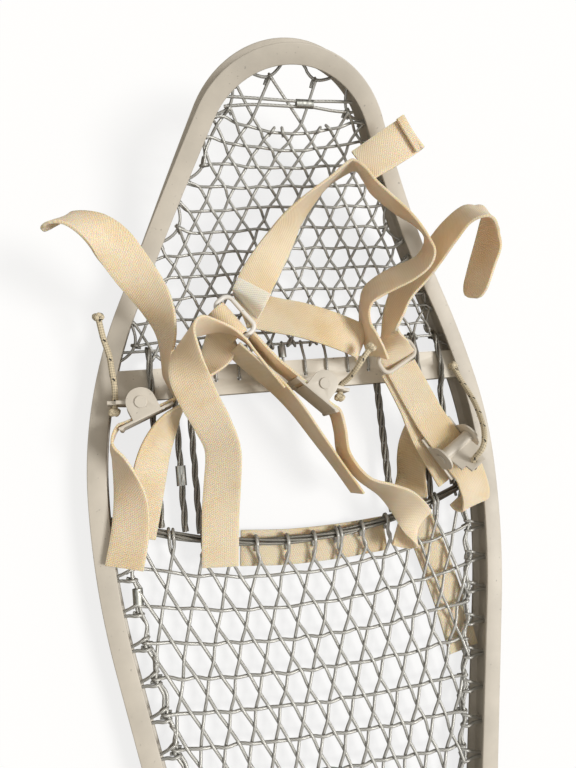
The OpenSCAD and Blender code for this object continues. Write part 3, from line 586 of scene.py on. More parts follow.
def crimped_metal(name):
    """Soft aluminium sleeve, squeezed flat: dull grey metal with scratches along it."""
    material, tree, shader, place = blank(name)
    lines = add(tree, "Mapping", {"Vector": place, "Scale": (per(1.1111), per(8.3333), per(1.1111))})
    scratch = add(tree, "TexNoise", {"Vector": lines, "Scale": 1.0, "Detail": 3.0})
    tint = add(tree, "ValToRGB", {"Fac": scratch}, [(0.35, linear("#85857F")), (0.65, linear("#B9B9B2"))])
    feed(tree, shader, {"Base Color": tint, "Metallic": 0.9, "Roughness": 0.42})
    return material


def finishes():
    """The object's materials by name, made once."""
    if "cotton webbing" not in bpy.data.materials:
        look = bpy.context.scene.snowshoe_finish
        enamel("satin frame enamel", list(look.frame_paint), 0.46, 0.16)
        # A paler copy of the frame enamel: painted light on the shaded crossbars
        enamel("crossbar enamel painted lighter", list(look.lit_bar_paint), 0.46, 0.12)
        enamel("satin hardware enamel", list(look.hardware_paint), 0.42, 0.14)
        enamel("white loop enamel", list(look.loop_paint), 0.36, 0.08)
        coated_cable("coated steel cable", list(look.cable))
        coated_cable("weathered steel cable", list(look.dark_cable))
        cotton_webbing("cotton webbing", list(look.webbing), list(look.webbing_shade))
        # The paler copy is painted light for the heel lap
        cotton_webbing("cotton webbing painted lit", list(look.lit_lap_webbing), darker(look.lit_lap_webbing, 0.92))
        braided_cord("braided lanyard cord", list(look.cord))
        crimped_metal("crimped aluminium")
    return bpy.data.materials


# Lacing


def scallop(first, last, pitch, stitch, deep):
    """A selvedge along one side: its route with stitches outside the web, the inner line that nets reach, and
    the places where the nets' cables gather on it."""
    route, inner, knots = [], [], []
    count = max(1, round((last - first) / pitch))
    step = (last - first) / count
    outside = WEB_OUT - 1.25
    for k in range(count):
        a, b = first + k * step + stitch / 2, first + (k + 1) * step - stitch / 2
        for t in np.linspace(0, 1, 9):
            inset = WEB_IN - BURY + (deep + BURY) * math.sin(math.pi * t) ** 0.8
            route.append([*side_at(a + (b - a) * t, inset), NET_H])
            inner.append(side_at(a + (b - a) * t, max(inset, WEB_IN + BURY)))
        for t in (0.06, 0.5, 0.94):
            knots.append(side_at(a + (b - a) * t, WEB_IN + BURY + deep * math.sin(math.pi * t) ** 0.8))
        if k < count - 1:
            route.append([*side_at(b + 0.12 * stitch, outside), NET_H])
            route.append([*side_at(b + 0.88 * stitch, outside), NET_H])
    return route, np.array(inner), np.array(knots)


def both_sides(points):
    """Points of the right-hand side, and the same points on the left."""
    points = np.asarray(points, float)
    other = points.copy()
    other[:, 0] *= -1
    return points, other


def crossings(p, d, outline):
    """The longest stretch of a line inside an outline, as two distances along it."""
    a = outline
    b = np.roll(outline, -1, axis=0)
    e = b - a
    across = d[0] * e[:, 1] - d[1] * e[:, 0]
    with np.errstate(divide="ignore", invalid="ignore"):
        t = ((a - p)[:, 0] * e[:, 1] - (a - p)[:, 1] * e[:, 0]) / across
        u = ((a - p)[:, 0] * d[1] - (a - p)[:, 1] * d[0]) / across
    t = np.sort(t[(np.abs(across) > 1e-9) & (u >= 0) & (u < 1)])
    spans = [(t[i + 1] - t[i], t[i], t[i + 1]) for i in range(0, len(t) - 1, 2)]
    return max(spans)[1:] if spans else None


def woven(outline, pitch, middle, rows, shortest, ends, warp=lambda p: p):
    """Routes of a three-way net: each family passes over the next and under the one after it.
    outline gives the edge for a cable of a family, rows how many lie on each side of the middle, shortest the
    least length in pitches, ends the points that finish a cable, and warp where a point of the plain pattern
    goes."""
    lines = []
    for family in range(3):
        a = math.radians(60 * family)
        d, n = np.array([math.cos(a), math.sin(a)]), np.array([-math.sin(a), math.cos(a)])
        for k in range(-rows, rows):
            p = np.array(middle) + (k + 0.5) * pitch * n
            span = crossings(p, d, outline(family, k))
            if span and span[1] - span[0] > shortest * pitch:
                lines.append((family, k, p, d, span))
    rise = 0.5 * lacing("cable")
    uneven = lacing("unevenness")
    routes = []
    for f, k, p, d, span in lines:
        marks = []
        for g, j, q, e, other in lines:
            if g == f:
                continue
            across = d[0] * e[1] - d[1] * e[0]
            w = q - p
            t = (w[0] * e[1] - w[1] * e[0]) / across
            u = (w[0] * d[1] - w[1] * d[0]) / across
            if span[0] < t < span[1] and other[0] < u < other[1]:
                lo, hi = ((f, k), (g, j)) if f < g else ((g, j), (f, k))
                shift = uneven * np.array([stray(*lo, *hi), stray(*hi, *lo)])
                over = 1 if (g - f) % 3 == 1 else -1
                marks.append((t, p + t * d + shift, over))
        marks.sort(key=lambda mark: mark[0])
        body = [[*warp(place), NET_H + rise * over] for t, place, over in marks]
        start, stop = warp(p + span[0] * d), warp(p + span[1] * d)
        head = ends(start, np.array(body[0][:2]) if body else stop)[::-1]
        foot = ends(stop, np.array(body[-1][:2]) if body else start)
        routes.append([rolled(q) for q in curve(head + body + foot, 3)])
    return routes


def round_selvedge(place, inside):
    """Takes a cable over its selvedge, round it and back under itself."""
    d = place - inside
    d = d / np.linalg.norm(d)
    s = np.array([-d[1], d[0]])
    r = WRAP * lacing("cable")
    side = 2.0 if stray(place[0], place[1]) > 0 else -2.0
    return [
        [*(place - 1.6 * d), NET_H + 0.85 * r],
        [*(place + 0.5 * d), NET_H + r],
        [*(place + r * d + 0.2 * side * s), NET_H],
        [*(place - 0.2 * d + 0.4 * side * s), NET_H - r],
        [*(place - 4.0 * d + 0.3 * side * s), NET_H - 0.9 * r],
    ]


def gathered(place, knots):
    """Draws the end of a cable to the nearest gathering place on its selvedge."""
    gaps = np.linalg.norm(knots - place, axis=1)
    if gaps.min() > GATHER:
        return place
    near = knots[gaps.argmin()]
    return near + GATHER_SPREAD * (place - near)


def held_selvedge(first, last, pitch, off):
    """A selvedge that stands off the web and is drawn to it by ties: its route, and the ties' routes."""
    count = round((last - first) / pitch)
    step = (last - first) / count
    route, ties = [], []
    for k in range(4 * count + 1):
        route.append([*side_at(first + k * step / 4, WEB_IN + off - PULL * math.cos(math.pi * k / 2)), NET_H])
    r = WRAP * lacing("cable")
    near = WEB_IN + off - PULL
    for k in range(count + 1):
        s = first + k * step
        for sign in (1, -1):
            # Out of the web, over the selvedge, round it and back under: places along, across and up
            run = [
                (0.9, WEB_IN - 1.0, 0.3 * sign), (2.0, WEB_IN + 0.45 * off, 0.8), (3.3, near - 3.0, 0.9 * r),
                (3.7, near - 0.4, r), (3.9, near + r, 0.2), (3.4, near - 0.4, -r),
                (1.6, near - 4.0, -0.8 * r),
            ]
            ties.append([[*side_at(s + sign * aside, inset), NET_H + h] for aside, inset, h in run])
    return np.array(route), ties


def cord_at(x):
    """Where the middle of the master cord lies along the shoe."""
    return CORD_Y + CORD_BOW * (x / HALF_W) ** 2


def drawn(x, v):
    """How far a row of the body net is drawn forwards: by the cord at the sides, and more on the left."""
    share = min(max((v - REAR_HIGH[1]) / (CORD_Y - REAR_HIGH[1]), 0), 1)
    slant = LEFT_RISE * min(max(CORD_Y - v, 0), LEFT_RISE_REACH) * min(1, LEFT_RISE_FADE * share)
    return CORD_BOW * (x / HALF_W) ** 2 * share**5 - slant * x


def narrowed(v):
    """How close the body net's slanting cables lie at a place along the shoe: closer towards the rear."""
    return (1 + FAN * max(v - CORD_Y, -FAN_REACH)) / bpy.context.scene.snowshoe_lacing.squeeze


def bowed(place):
    """Moves a point of the plain pattern to its place in the body net."""
    x = place[0] * narrowed(place[1]) - LEAN * (place[1] - CORD_Y)
    return np.array([x, place[1] + drawn(x, place[1])])


def unbowed(place):
    """The place of the plain pattern that bowed moves to this point."""
    x, v = place
    for _ in range(8):
        v = place[1] - drawn(x, v)
    return np.array([(x + LEAN * (v - CORD_Y)) / narrowed(v), v])


def body_end(place, inside):
    """Finishes a body cable: round the master cord, at the rear crossbar, or round the selvedge."""
    x, rear = place[0], REAR_HIGH[1]
    if place[1] > cord_at(x) - APEX - 5:
        x = x + (1.3 if inside[0] < x else -1.3)
        cord = cord_at(x)
        places = (-7.0, 2.0), (-0.5, 4.7), (4.3, 0.4), (0.5, -4.5), (-7.0, -3.0)
        return [[x, cord + off, NET_H + h] for off, h in places]
    if place[1] < rear + 3:
        return [[x, rear + 1.4, NET_H], [x, rear - 3.0, BAR_TOP + 1.2], [x, rear - 9.0, BAR_TOP + 1.1]]
    return round_selvedge(place, inside)


def lace(name, routes, *nodes, look="coated steel cable", cable="cable"):
    """Makes a laced piece of cable that rides on the shoe."""
    return dress(swept(name, routes, lacing(cable) / 2), look, "lacing_cable", "shoe", *nodes)


def ferrule(name, routes, radius):
    """Makes a piece of crimped sleeves that rides on the shoe."""
    return dress(swept(name, routes, radius, 14), "crimped aluminium", "sleeve_metal", "shoe")


# The binding's webbing: places beside the toe crossbar, as in the part's source

PIN_SEAT = 7.3
BASE_DEPTH = 4.65
LEFT_PIN, LEFT_TURN = np.array([-114, -16, 16]), math.radians(22)
MID_PIN, MID_TURN = np.array([10, -13, 16]), math.radians(-44)
RIGHT_PIN, RIGHT_TURN = np.array([107, -66, 24]), math.radians(-58)


def side_run(pin, turn, t, tilt):
    """The webbing under the cam of a buckle that lies on its side, a distance t along it."""
    c, s = math.cos(turn), math.sin(turn)
    return [pin[0] + t * c + PIN_SEAT * s, pin[1] + t * s - PIN_SEAT * c, pin[2], 0, tilt]


def left_run(t):
    """The webbing under the left buckle's cam."""
    return side_run(LEFT_PIN, LEFT_TURN, t, 90)


def left_back(t):
    """The webbing behind the left buckle's base."""
    x, y, z, _, _ = left_run(t)
    return [x + BASE_DEPTH * math.sin(LEFT_TURN), y - BASE_DEPTH * math.cos(LEFT_TURN), z, 0, -90]


def mid_run(t):
    """The webbing under the middle buckle's cam."""
    return side_run(MID_PIN, MID_TURN, t, -90)


def right_run(t):
    """The webbing under the right buckle's cam, which lies flat."""
    c, s = math.cos(RIGHT_TURN), math.sin(RIGHT_TURN)
    return [RIGHT_PIN[0] + t * c, RIGHT_PIN[1] + t * s, RIGHT_PIN[2] - PIN_SEAT, -58 + 90, 0]


# Each route is a row of [x, y, z, heading of the width, tilt of the width]
STRAP_ROUTES = {
    "left_strap_tail": [
        [-90.62, -13.41, 16, 105, -82], [-93.39, -6.66, 17.5, 111, -75], [-95.6, -0.3, 20, 116, -71],
        [-96, 8.7, 23, 116, -69], [-95.3, 20, 27, 128, -61], [-96.2, 31.5, 33, 152, -51],
        [-99.6, 42.7, 39, 176, -39], [-105.2, 52.7, 46, -166, -27], [-114, 63.8, 56, -150, -12],
        [-121.8, 73.7, 64, -140, -3], [-129.5, 81, 70, -119, 18], [-137.9, 85.9, 73, -109, 38],
        [-145.9, 88.7, 73.5, -110, 51], [-152.1, 88.4, 71.5, -135, 46], [-155.3, 87.1, 66, -136, 31],
    ],
    "hanging_strap": [
        [-16.1, -11.9, 18, -141, 75], [-29.3, 7.3, 18.5, -134, 74], [-38.1, 18.9, 20, -97, 72],
        [-46.8, 25.3, 23.5, -53, 66], [-57.5, 28.6, 28.5, -14, 64], [-68.9, 28.8, 34.5, 21, 55],
        [-79, 26.8, 43, 46, 51], [-85, 18, 54, 40, 56], [-85.4, 7, 56, 2, 48], [-83.4, -6.8, 50.5, 10, 18],
        [-77, -20.7, 40, 16, 18], [-69.7, -34.1, 30, 11, 21], [-63, -52, 19.5, -4, 24],
        [-65, -76, 14, -10, 17], [-67, -94, 9, -7, 6], [-68, -113, 2, -4, 4], [-69, -131, -4, -5, 5],
    ],
    "instep_strap": [
        [-41, 44, 14.6, -54, 0], [-36.5, 45.2, 15.6, -70, 0], [-30, 43.5, 17, -84, 0],
        [-16, 39, 20, -104, 0], [0, 34, 24, -108, 0], [19, 27, 25, -110, 0], [34, 22, 21, -114, 0],
        [42, 19.2, 17.6, -116, 0], [47.8, 17, 12.4, -118, 0], [50, 15.8, 6, -118, 0],
    ],
    "heel_strap": [
        [-36.6, 51.4, 24.2, -32, 3], [-34.4, 55, 25.8, -31, 2], [-28, 66, 29, -31, -11],
        [-14, 86, 34, -23, -35], [-5, 99, 41, -9, -51], [7, 111, 48, 7, -65], [22, 123, 55, 40, -72],
        [37.1, 131.6, 60, 23, -62], [43.9, 125.3, 62, 16, -68], [49.2, 115.5, 63, 24, -73],
        [58.1, 106.1, 63.5, 42, -74], [68, 97.2, 63.5, 50, -72], [78.1, 88.3, 63.2, 51, -63],
        [85, 79.4, 62, 48, -59], [86.6, 71.2, 59, 69, -67], [82.3, 63.8, 55.5, 85, -56],
        [73.6, 59, 50, 81, -45], [61.5, 54.9, 43.5, 85, -45], [50.8, 49.3, 38, 90, -54],
        [45.7, 41.8, 34, 74, -62], [46.1, 34.2, 29.5, 80, -57], [49.6, 25.8, 24, 101, -61],
        [54.4, 15.6, 18.5, 121, -66], [58.9, 5.6, 14, 128, -67],
    ],
    "heel_strap_tab": [
        [41.2, 127.8, 67.2, -67, 12], [46.4, 130.6, 68.9, -67, 12], [53.4, 134.3, 70.5, -62, 6],
        [62.6, 139.6, 72, -58, -1], [71.5, 144.9, 72.6, -57, -7], [76.2, 147.7, 72.8, -57, -7],
        [77.5, 148.5, 74.6, -57, -7], [76.2, 147.8, 76.3, -57, -7], [72.2, 145.4, 76, -57, -7],
    ],
    "right_strap_tail": [
        [78.4, 1.9, 11, 37, 25], [73.4, 4.3, 16.5, 31, 26], [69, 8.7, 20.3, 18, 32], [67, 16.8, 20, 21, 71],
        [67.8, 22.3, 19, -61, 86], [72.4, 36, 21, -61, 70], [78.5, 50.1, 26, -70, 59],
        [91.2, 63.9, 33, -82, 48], [98.7, 74.7, 45, -89, 39], [105, 84.5, 58, -94, 38],
        [113.2, 92.6, 69, -105, 42], [123.3, 93.4, 73, -102, 50], [131.8, 90, 70, -99, 38],
        [134.1, 83.7, 63, -88, 51], [134.8, 74.2, 57, -66, 59], [131.6, 62.6, 52, -63, 64],
        [127.6, 49.8, 48, -63, 68], [124.5, 39.5, 45, -62, 68],
    ],
    "left_strap": [
        left_run(21), left_run(12), left_run(-12), left_run(-20), [-134, -41, 16, 0, 86],
        [-130, -52, 15, 0, 68], [-127, -64, 13, -5, 50], [-125, -80, 11, -6, 30], [-127, -100, 9, -12, 18],
        [-132, -121, 7, -20, 12],
    ],
    "left_anchor_strap": [
        left_back(26), [-94.3, -25.9, 13, -4, -62], [-100.6, -35.3, 10, -13, -47], [-107, -48, 6, -9, -34],
        [-112.2, -65, 0, -9, -24], [-117.6, -84.8, -5, -13, -15], [-123, -104.4, -7.2, -15, -7],
    ],
    "toe_strap": [
        [-48.7, 17.3, 17, -152, -76], [-36.5, 4.5, 17, -152, -76], [-21.8, -10, 17, -152, -78],
        [-8.1, -28, 17, -150, -82], [5.5, -50.5, 17, -150, -86], [18.6, -72.2, 17, 0, -90],
        [29.8, -91, 17, 0, -90],
    ],
    "toe_inner_strap": [
        [-35.9, 25.5, 16, 0, -90], mid_run(-36), mid_run(-24), mid_run(-12), mid_run(12), mid_run(21),
        [22, -46, 16.5, 0, -90], [23, -63, 17, 0, -90], [34.9, -80.7, 17, -60, -88],
        [51.2, -91, 17, -100, -72], [62.2, -100.4, 17.5, -113, -48], [69.9, -110.7, 16.5, -113, -30],
        [75.1, -119.6, 11.5, -113, -16], [74.9, -123.8, 5, -113, -8], [69.6, -123.8, 1.5, -113, -5],
        [62.1, -120.9, 3, -113, -5],
    ],
    "right_strap": [
        [76.5, -2, 13, 29, 0], [81, -14, 14.5, 31, 0], [87, -30, 16.5, 32, 0], right_run(-24),
        right_run(-12), right_run(12), right_run(21), [121, -89, 15, 28, 0], [126, -102, 10.5, 19, -2],
        [128, -111, 4, 15, 0], [125.5, -109.5, -3, 14, 0], [122, -104, -5.5, 14, 0],
    ],
    "under_strap": [
        [-52, -122, -16.3, -90, 0], [-15, -126, -16.3, -90, 0], [24, -127, -16.3, -90, 0],
        [60, -126, -16.3, -90, 0],
    ],
    "drop_strap": [
        [91.5, -47, 7.5, -4, 4], [87, -59, 2.5, -4, 30], [84, -73, -4.5, -4, 58],
        [84.5, -86.5, -9.5, -4, 58], [84.5, -99, -14, -2, 28], [86, -109, -16.3, -4, 0],
        [93, -132, -16.3, -10, 0], [101, -162, -16.3, -12, 0], [108, -192, -16.3, -12, 0],
        [113, -221, -16.3, -10, 0],
    ],
}

# Straps that have no solid of their own, with the body that each rides on
EXTRA_ROUTES = {
    "joining_strap": ("shoe", [
        left_run(21), [-80.7, -4.1, 13, -53, 72], [-68.9, 6.2, 9, -53, 52], [-59.5, 16, 6.5, -53, 34],
        [-56, 25, 7, -53, 16], [-57, 31.6, 12, -53, 4], [-56.5, 32.1, 17.5, -53, 0],
        [-54.6, 33.5, 22, -53, 0], [-51.4, 35.9, 23.7, -53, 0], [-48.2, 38.3, 22, -53, 0],
        [-46.3, 39.7, 18, -53, 0], [-47.4, 38.9, 13, -53, 0], [-50.6, 36.5, 9.8, -53, 0],
    ]),
    "heel_lap": ("heel_loop", [
        [-32.3, 58.6, 29, -31, 0], [-34.6, 54.6, 28.4, -32, 3], [-36.4, 51.4, 26.8, -38, 3],
        [-37, 49.4, 23, -48, 0], [-37.2, 48.6, 18.5, -53, 0], [-37.6, 48, 14.5, -53, 0],
    ]),
    "right_under": ("shoe", [
        [73.2, -3.5, 10.4, 29, 0], [77.7, -15.5, 11.9, 31, 0], [83.2, -31.8, 13.4, 32, 0],
        [86.5, -43, 12.6, 32, 0], [91.5, -56.5, 11, 32, 0], [98, -68.5, 9, 32, 0], [104.5, -80, 7.5, 30, 0],
        [109.5, -89, 6, 28, 0],
    ]),
}

# Straps whose one end stays with the shoe while the rest swings: the body, and the places between which it
# takes over. The straps are laid on no body here, and the body and places are not used
SWINGING = {
    "hanging_strap": ("hanging_tail", [-46, 25, 22], [-64, 25, 22]),
    "heel_strap": ("heel_loop", [50, 24, 23], [37, 47, 34.5]),
    "right_strap_tail": ("right_tail", [70, 4, 16], [70, 20, 20]),
}
# Free ends that are cut to a rounded tip, with the length of the tip in millimetres
TIPS = {"left_strap_tail": 7, "right_strap_tail": 13}
BLUNT = 0.3
# The selvedges of worn webbing stand this far off its face, in a slow wave
CURL, CURL_WAVE = 0.16, 17


def strap_frames(route, steps):
    """Places of a strap's middle, its width direction and its face direction, in millimetres."""
    rows = np.asarray(route, float)
    places = curve(rows[:, :3], steps) + BINDING
    turn, tilt = np.radians(rows[:, 3]), np.radians(rows[:, 4])
    level = np.cos(tilt)
    across = curve(np.stack([np.cos(turn) * level, np.sin(turn) * level, np.sin(tilt)], 1), steps)
    t = unit(np.gradient(places, axis=0))
    w = unit(across - (across * t).sum(1)[:, None] * t)
    return places, w, np.cross(t, w)


def weave_strap(name, route, tip=0, steps=9, columns=8):
    """Makes one strap: a grid along its route, given its thickness, soft selvedges and perhaps a tip."""
    places, w, f = strap_frames(route, steps)
    rows = len(places)
    far = run_lengths(places)
    narrow = np.ones(rows)
    if tip:
        left = np.clip((far[-1] - far) / tip, 0, 1)
        narrow = BLUNT + (1 - BLUNT) * np.sqrt(1 - (1 - left) ** 2)
    deselect()
    bpy.ops.mesh.primitive_grid_add(x_subdivisions=columns, y_subdivisions=rows - 1, size=2, calc_uvs=False)
    made = bpy.context.object
    made.name = name + "_webbing"
    mesh = made.data
    layer = mesh.uv_layers.new(name="lay")
    # Each vertex's share of the width and its row along the strap
    spots = [((v.co.x + 1) / 2, min(rows - 1, round((v.co.y + 1) / 2 * (rows - 1)))) for v in mesh.vertices]
    for vertex, (share, k) in zip(mesh.vertices, spots):
        curl = CURL * abs(2 * share - 1) ** 3 * math.sin(far[k] / CURL_WAVE + 3 * share)
        spot = places[k] + (share - 0.5) * STRAP_W * narrow[k] * w[k] + curl * f[k]
        vertex.co = Vector(spot * MM)
    for loop in mesh.loops:
        share, k = spots[loop.vertex_index]
        layer.data[loop.index].uv = ((0.5 + (share - 0.5) * narrow[k]) * STRAP_W * MM, far[k] * MM)
    solid = made.modifiers.new("Thickness", "SOLIDIFY")
    solid.thickness = 0.9 * STRAP_T * MM
    solid.offset = 0
    solid.use_even_offset = False
    bpy.ops.object.modifier_apply(modifier=solid.name)
    soften(made, 0.55, segments=2, sharp=60, smooth=50)
    return made


# Lanyards: the levers' eyes and the way that each cord goes through its eye

EYE_REACH = 16.5
LANYARD_D = 4.0
KNOT_D = 8.4
KNOT_CORD_R = 1.9


def eye_stretch(eye, way):
    """The stretch of a lanyard through its lever's eye."""
    eye, way = np.asarray(eye), np.asarray(way)
    return [eye - 3 * way, eye, eye + 4 * way]


def side_eye(pin, aim, sign):
    """The stretch through the eye of a lever that lies on its side and points to an angle."""
    c, s = math.cos(aim), math.sin(aim)
    return eye_stretch(pin + EYE_REACH * np.array([c, s, 0]), [sign * s, -sign * c, 0])


def right_eye():
    """The stretch through the eye of the right lever, which stands up."""
    lift = math.radians(35)
    way = np.array([math.cos(RIGHT_TURN), math.sin(RIGHT_TURN), 0])
    up = np.array([0, 0, 1])
    eye = RIGHT_PIN + EYE_REACH * (math.cos(lift) * way + math.sin(lift) * up)
    return eye_stretch(eye, math.cos(lift) * up - math.sin(lift) * way)


LANYARDS = {
    "left": side_eye(LEFT_PIN, LEFT_TURN + math.radians(180 - 27), 1)
    + [[-130, -2, 16], [-131, 8, 15], [-132, 18, 13], [-135, 30, 13], [-137, 42, 15]],
    "mid": side_eye(MID_PIN, MID_TURN + math.radians(30), -1)
    + [[32, -9, 21], [36, -3, 29], [40.5, 3.6, 32.5], [44.5, 8, 33]],
    "right": right_eye()
    + [[117, -68, 43], [123, -58, 38], [128, -46, 28], [130, -32, 18], [128, -18, 10], [125, -6, 6]],
}


def overhand(centre, way):
    """The route of a small overhand knot that fills a ball of the knot's size."""
    t = np.linspace(0, 2 * math.pi, 61)
    lump = np.stack([np.sin(t) + 2 * np.sin(2 * t), np.cos(t) - 2 * np.cos(2 * t), -1.2 * np.sin(3 * t)], 1)
    turn = np.array(Vector((0, 0, 1)).rotation_difference(Vector(way)).to_matrix())
    return (0.78 * lump) @ turn.T + centre


# Operators


class SNOWSHOE_OT_stage(bpy.types.Operator):
    """Sets the camera, the light and the floor"""

    bl_idname = "snowshoe.stage"
    bl_label = "Stage"

    def execute(self, context):
        scene = context.scene
        scene.view_settings.view_transform = "Standard"
        camera = bpy.data.objects.new("Camera", bpy.data.cameras.new("Camera"))
        scene.collection.objects.link(camera)
        camera.matrix_world = Matrix.Translation(CAMERA_PLACE) @ Matrix(CAMERA_TURN).to_4x4()
        camera.data.sensor_width = 36
        camera.data.lens = CAMERA_LENS
        camera.data.clip_start = 0.01
        scene.camera = camera

        sun = bpy.data.objects.new("Key", bpy.data.lights.new("Key", "SUN"))
        sun.data.energy = 2.35
        sun.data.angle = math.radians(20)
        sun.data.color = (1.0, 0.985, 0.955)
        sun.rotation_euler = Vector(SUN_FROM).to_track_quat("Z", "Y").to_euler()
        scene.collection.objects.link(sun)

        # The camera and the metal's reflections see white, while a softer warm light falls on the object
        world = bpy.data.worlds.new("Studio")
        scene.world = world
        world.use_nodes = True
        tree = world.node_tree
        path = add(tree, "LightPath").outputs
        seen = add(tree, "Math", {0: path["Is Camera Ray"], 1: path["Is Glossy Ray"]}, operation="MAXIMUM")
        strength = add(tree, "MapRange", {"Value": seen, "To Min": 0.47, "To Max": 1.0})
        sky = add(tree, "Mix", {0: seen, 6: (1, 0.93, 0.82, 1), 7: (1, 1, 1, 1)}, data_type="RGBA")
        feed(tree, tree.nodes["Background"], {"Strength": strength, "Color": sky.outputs[2]})

        # The floor is pale to the camera, keeps the shadow, and throws little light back
        deselect()
        bpy.ops.mesh.primitive_plane_add(size=12, location=(0, 0, -0.5 * MM))
        floor = context.object
        floor.name = "Floor"
        material, tree, shader, _ = blank("pale floor")
        seen = add(tree, "LightPath").outputs["Is Camera Ray"]
        dim, pale = (0.24, 0.23, 0.21, 1), (0.95, 0.95, 0.95, 1)
        tone = add(tree, "Mix", {0: seen, 6: dim, 7: pale}, data_type="RGBA")
        feed(tree, shader, {"Base Color": tone.outputs[2], "Roughness": 1.0, "Specular IOR Level": 0.0})
        share = add(tree, "Math", {0: seen, 1: 0.78}, operation="MULTIPLY")
        mixed = add(tree, "MixShader", {0: share, 1: shader, 2: add(tree, "Emission")})
        feed(tree, tree.nodes["Material Output"], {"Surface": mixed})
        floor.data.materials.append(material)
        return {"FINISHED"}


class SNOWSHOE_OT_lanyards(bpy.types.Operator):
    """Threads a braided lanyard through each lever and knots its ends"""

    bl_idname = "snowshoe.lanyards"
    bl_label = "Lanyards"

    def execute(self, context):
        look = "braided lanyard cord"
        for side, points in LANYARDS.items():
            points = np.array(points) + BINDING
            route = curve(points, 6)
            cord = swept(f"{side}_lanyard", [route], LANYARD_D / 2, 12)
            dress(cord, look, "lanyard_cord", f"{side}_cam", f"{side}_lanyard_cord")
            knots = []
            for end, before in ((points[0], points[1]), (points[-1], points[-2])):
                way = (end - before) / np.linalg.norm(end - before)
                knots.append(overhand(end + way * 0.3 * KNOT_D, way))
            ends = swept(f"{side}_lanyard_knots", knots, KNOT_CORD_R, 8)
            dress(ends, look, "lanyard_cord", f"{side}_cam", f"{side}_knots")
        return {"FINISHED"}


class SNOWSHOE_OT_webbing(bpy.types.Operator):
    """Lays the webbing straps along their routes"""

    bl_idname = "snowshoe.webbing"
    bl_label = "Webbing"

    def execute(self, context):
        for node, route in STRAP_ROUTES.items():
            strap = weave_strap(node, route, TIPS.get(node, 0))
            if node in SWINGING:
                dress(strap, "cotton webbing", "webbing", None, node)
                body, *places = SWINGING[node]
                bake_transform(strap)
            else:
                dress(strap, "cotton webbing", "webbing", frame["nodes"][node]["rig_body"], node)
        for name, (body, route) in EXTRA_ROUTES.items():
            # The heel lap gets the paler webbing, painted light on its upward face
            look = "cotton webbing painted lit" if name == "heel_lap" else "cotton webbing"
            dress(weave_strap(name, route), look, "webbing", body)
        return {"FINISHED"}


class SNOWSHOE_OT_rail(bpy.types.Operator):
    """Sweeps the I-section rail round the outline, with rounded edges"""

    bl_idname = "snowshoe.rail"
    bl_label = "Rail"

    def execute(self, context):
        root = FLANGE_T + FLANGE_ROOT
        inner = [(FLANGE_W, 0), (FLANGE_W, FLANGE_T), (WEB_IN, root)]
        outer = [(0, RAIL_H), (0, RAIL_H - FLANGE_T), (WEB_OUT, RAIL_H - root)]
        section = inner + [(q, RAIL_H - h) for q, h in inner[::-1]]
        section += outer + [(WEB_OUT, root), (0, FLANGE_T), (0, 0)]
        left = SIDE[:0:-1] * [-1, 1, -1, 1]
        loop = np.vstack([left, SIDE])
        n = len(section)
        points = [rolled((s[0] - q * s[2], s[1] - q * s[3], h)) for s in loop for q, h in section]
        faces = []
        for a in range(0, (len(loop) - 1) * n, n):
            for i in range(n):
                k = (i + 1) % n
                faces.append((a + i, a + k, a + n + k, a + n + i))
        faces += [tuple(range(n - 1, -1, -1)), tuple((len(loop) - 1) * n + i for i in range(n))]
        rail = keep_mesh("rail", points, faces)
        bpy.ops.object.mode_set(mode="EDIT")
        bpy.ops.mesh.select_all(action="SELECT")
        bpy.ops.mesh.normals_make_consistent(inside=False)
        bpy.ops.object.mode_set(mode="OBJECT")
        soften(rail, 0.7, segments=3, sharp=20, smooth=30)
        dress(rail, "satin frame enamel", "frame_paint", "shoe", "frame_rail")
        return {"FINISHED"}


class SNOWSHOE_OT_metalwork(bpy.types.Operator):
    """Rounds and paints the crossbars, the tail, the buckles and the loops"""

    bl_idname = "snowshoe.metalwork"
    bl_label = "Metalwork"

    def execute(self, context):
        for node in ("toe_crossbar", "rear_crossbar"):
            # The crossbars get the paler enamel, painted light against the binding's shade
            smooth_copy(node, 0.7, "crossbar enamel painted lighter", "frame_paint")
        for node, edge in (("tail_spacer", 0.5), ("tail_rivets", 0.4)):
            smooth_copy(node, edge, "satin frame enamel", "frame_paint")
        for side in ("left", "mid", "right"):
            for piece, edge in (("buckle", 0.35), ("lever", 0.3), ("pin_rivet", 0.4)):
                smooth_copy(f"{side}_{piece}", edge, "satin hardware enamel", "hardware_paint")
        smooth_copy("slide_loop", 0, "white loop enamel", "loop_paint", 60)
        smooth_copy("strap_ring", 0, "satin hardware enamel", "hardware_paint", 60)
        smooth_copy("crimp_sleeves", 0.25, "crimped aluminium", "sleeve_metal")
        return {"FINISHED"}


